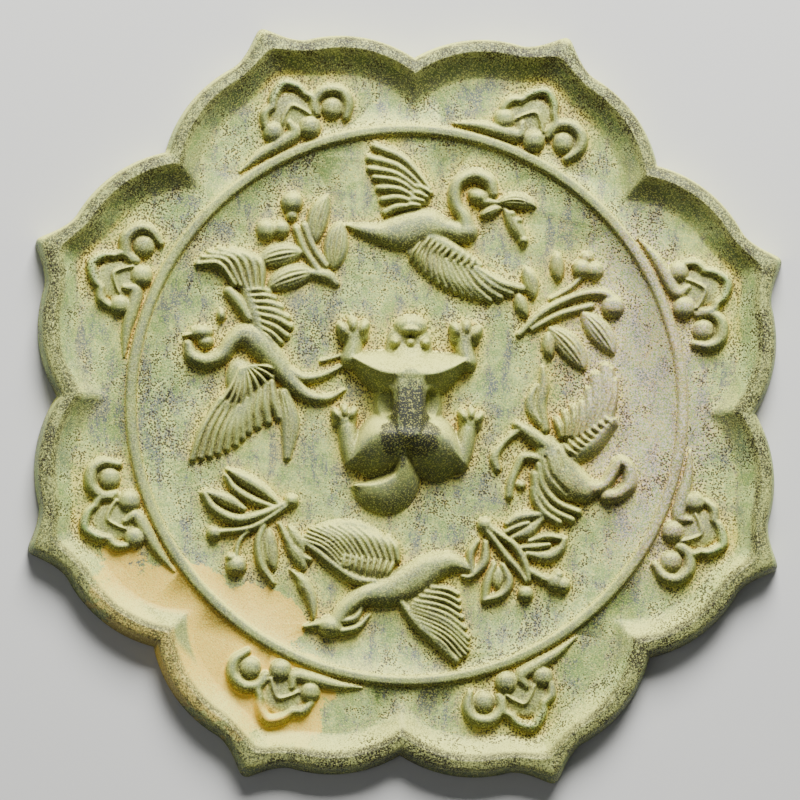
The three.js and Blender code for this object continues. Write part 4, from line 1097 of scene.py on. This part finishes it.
class MirrorLook(bpy.types.PropertyGroup):
    """Colours of the patina and the floor, and strengths of the lights."""

    green: colour_setting("Green", "Darker green of the field", 134, 162, 86)
    pale_green: colour_setting("Pale green", "Paler green of the field", 186, 206, 126)
    olive: colour_setting("Olive", "Olive skin of the relief", 144, 150, 88)
    blue_grey: colour_setting("Blue grey", "Grey streaks where the skin is thin", 84, 86, 106)
    pale_earth: colour_setting("Pale earth", "Yellow earth beside the relief", 248, 232, 98)
    dark_earth: colour_setting("Dark earth", "Rusty earth deep in the hollows", 190, 98, 24)
    tan_earth: colour_setting("Tan earth", "Earth spread over the lower left", 255, 212, 78)
    silver: colour_setting("Silver", "Pale grains of bare metal on the right", 226, 210, 196)
    # Also laid as painted light on the sides that face the key light and on crests; elsewhere it is pale
    # grains
    dust_and_painted_light: colour_setting("Dust", "Pale dust on the upper sides", 250, 250, 130)
    worn_metal: colour_setting("Worn metal", "Dark grey metal on the knob's back", 50, 50, 56)
    # Also laid as painted shade on the lower sides and in the relief's hollows; on the rim's lip it is dark
    # wear
    grime_and_painted_shade: colour_setting("Grime", "Dark green grime on the lower sides", 42, 48, 34)
    lip: colour_setting("Lip", "Cream skin of the rim's lip", 200, 196, 118)
    pit: colour_setting("Pit", "Dark pits", 40, 32, 10)
    floor: colour_setting("Floor", "Pale studio floor", 214, 214, 210)
    key: FloatProperty(name="Key light", description="Strength of the main light", default=37.0, min=0.0,
                       unit="POWER")
    fill: FloatProperty(name="Fill light", description="Strength of the fill light", default=1.2, min=0.0,
                        unit="POWER")


class MIRROR_OT_casting(bpy.types.Operator):
    """Build the cast mirror with its relief and patina"""

    bl_idname = "mirror.casting"
    bl_label = "Casting"

    def execute(self, context):
        casting = build_casting(context.scene.mirror_form)
        casting.data.materials.clear()
        casting.data.materials.append(patina_material(context.scene.mirror_look))
        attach(casting, "root")
        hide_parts("mirror")
        return {"FINISHED"}


# Camera: the photograph looks down on the back, a little from the lower left
VIEW_DISTANCE = 1.6
VIEW_TILT = math.radians(6.0)
VIEW_BEARING = math.radians(235.0)
VIEW_ROLL = math.radians(1.45)
PHOTO_WIDTH = 800.0
TIP_SPAN_PIXELS = 812.0
MIRROR_MIDDLE_PIXEL = (408.0, 403.6)
SENSOR_WIDTH = 36.0

# Studio, in metres from the middle of the mirror's face
KEY_PLACE = (0.12, 0.9, 0.66)
KEY_SIZE = 0.55
FILL_PLACE = (-0.6, -0.3, 1.0)
FILL_SIZE = 0.9
FLOOR_REACH = 4.0
FLOOR_DROP = 0.0002
SKY_COLOUR = (0.9, 0.94, 1.0, 1.0)
SKY_STRENGTH = 0.08


def look_along(obj, toward_viewer, right_hint):
    """Turns an object so that its back faces the viewer's direction."""
    back = toward_viewer.normalized()
    up = back.cross(right_hint).normalized()
    right = up.cross(back)
    obj.rotation_euler = Matrix((right, up, back)).transposed().to_euler()


def build_camera():
    pixel = 2 * TIP_RADIUS * MM / TIP_SPAN_PIXELS
    right = Vector((math.cos(VIEW_ROLL), math.sin(VIEW_ROLL), 0.0))
    up = Vector((-math.sin(VIEW_ROLL), math.cos(VIEW_ROLL), 0.0))
    aside = (PHOTO_WIDTH / 2 - MIRROR_MIDDLE_PIXEL[0]) * pixel
    above = (MIRROR_MIDDLE_PIXEL[1] - PHOTO_WIDTH / 2) * pixel
    target = right * aside + up * above + Vector((0.0, 0.0, 0.6 * RIM_HEIGHT * MM))
    toward = Vector((math.sin(VIEW_TILT) * math.cos(VIEW_BEARING),
                     math.sin(VIEW_TILT) * math.sin(VIEW_BEARING), math.cos(VIEW_TILT)))
    data = bpy.data.cameras.new("camera")
    data.sensor_width = SENSOR_WIDTH
    data.lens = SENSOR_WIDTH * VIEW_DISTANCE / (PHOTO_WIDTH * pixel)
    data.dof.use_dof = False
    camera = bpy.data.objects.new("camera", data)
    camera.location = target + toward * VIEW_DISTANCE
    look_along(camera, toward, right)
    bpy.context.scene.collection.objects.link(camera)
    bpy.context.scene.camera = camera


def build_light(name, place, size, power):
    data = bpy.data.lights.new(name, "AREA")
    data.energy = power
    data.size = size
    light = bpy.data.objects.new(name, data)
    light.location = place
    look_along(light, Vector(place), Vector((1.0, 0.0, 0.0)))
    bpy.context.scene.collection.objects.link(light)


def build_floor(look):
    material = bpy.data.materials.new("pale_floor")
    w = Wiring(material)
    shader = w.node("ShaderNodeBsdfPrincipled", {}, {"Base Color": tuple(look.floor), "Roughness": 0.9})
    w.node("ShaderNodeOutputMaterial", {}, {"Surface": shader})
    corners = [(x * FLOOR_REACH, y * FLOOR_REACH, 0.0) for x, y in ((-1, -1), (1, -1), (1, 1), (-1, 1))]
    mesh = bpy.data.meshes.new("floor")
    mesh.from_pydata(corners, [], [(0, 1, 2, 3)])
    mesh.materials.append(material)
    floor = bpy.data.objects.new("floor", mesh)
    floor.location.z = -FLOOR_DROP
    bpy.context.scene.collection.objects.link(floor)


class MIRROR_OT_studio(bpy.types.Operator):
    """Set the pale floor, the soft lights and the camera"""

    bl_idname = "mirror.studio"
    bl_label = "Studio"

    def execute(self, context):
        look = context.scene.mirror_look
        build_floor(look)
        build_light("key_light", KEY_PLACE, KEY_SIZE, look.key)
        build_light("fill_light", FILL_PLACE, FILL_SIZE, look.fill)
        world = bpy.data.worlds.new("studio")
        world.use_nodes = True
        background = world.node_tree.nodes["Background"]
        background.inputs["Color"].default_value = SKY_COLOUR
        background.inputs["Strength"].default_value = SKY_STRENGTH
        context.scene.world = world
        build_camera()
        return {"FINISHED"}


class MIRROR_PT_panel(bpy.types.Panel):
    """The mirror's sizes, colours and pieces"""

    bl_label = "Ancient Bronze Mirror"
    bl_idname = "MIRROR_PT_panel"
    bl_space_type = "VIEW_3D"
    bl_region_type = "UI"
    bl_category = "Mirror"

    def draw(self, context):
        for settings in (context.scene.mirror_form, context.scene.mirror_look):
            for name in settings.__annotations__:
                self.layout.prop(settings, name)
        self.layout.operator("mirror.casting")
        self.layout.operator("mirror.studio")


CLASSES = (MirrorForm, MirrorLook, MIRROR_OT_casting, MIRROR_OT_studio, MIRROR_PT_panel)


def register():
    for cls in CLASSES:
        bpy.utils.register_class(cls)
    bpy.types.Scene.mirror_form = PointerProperty(type=MirrorForm)
    bpy.types.Scene.mirror_look = PointerProperty(type=MirrorLook)


def unregister():
    del bpy.types.Scene.mirror_look
    del bpy.types.Scene.mirror_form
    for cls in reversed(CLASSES):
        bpy.utils.unregister_class(cls)


def main():
    register()
    bpy.ops.mirror.casting()
    bpy.ops.mirror.studio()


if __name__ == "__main__":
    main()
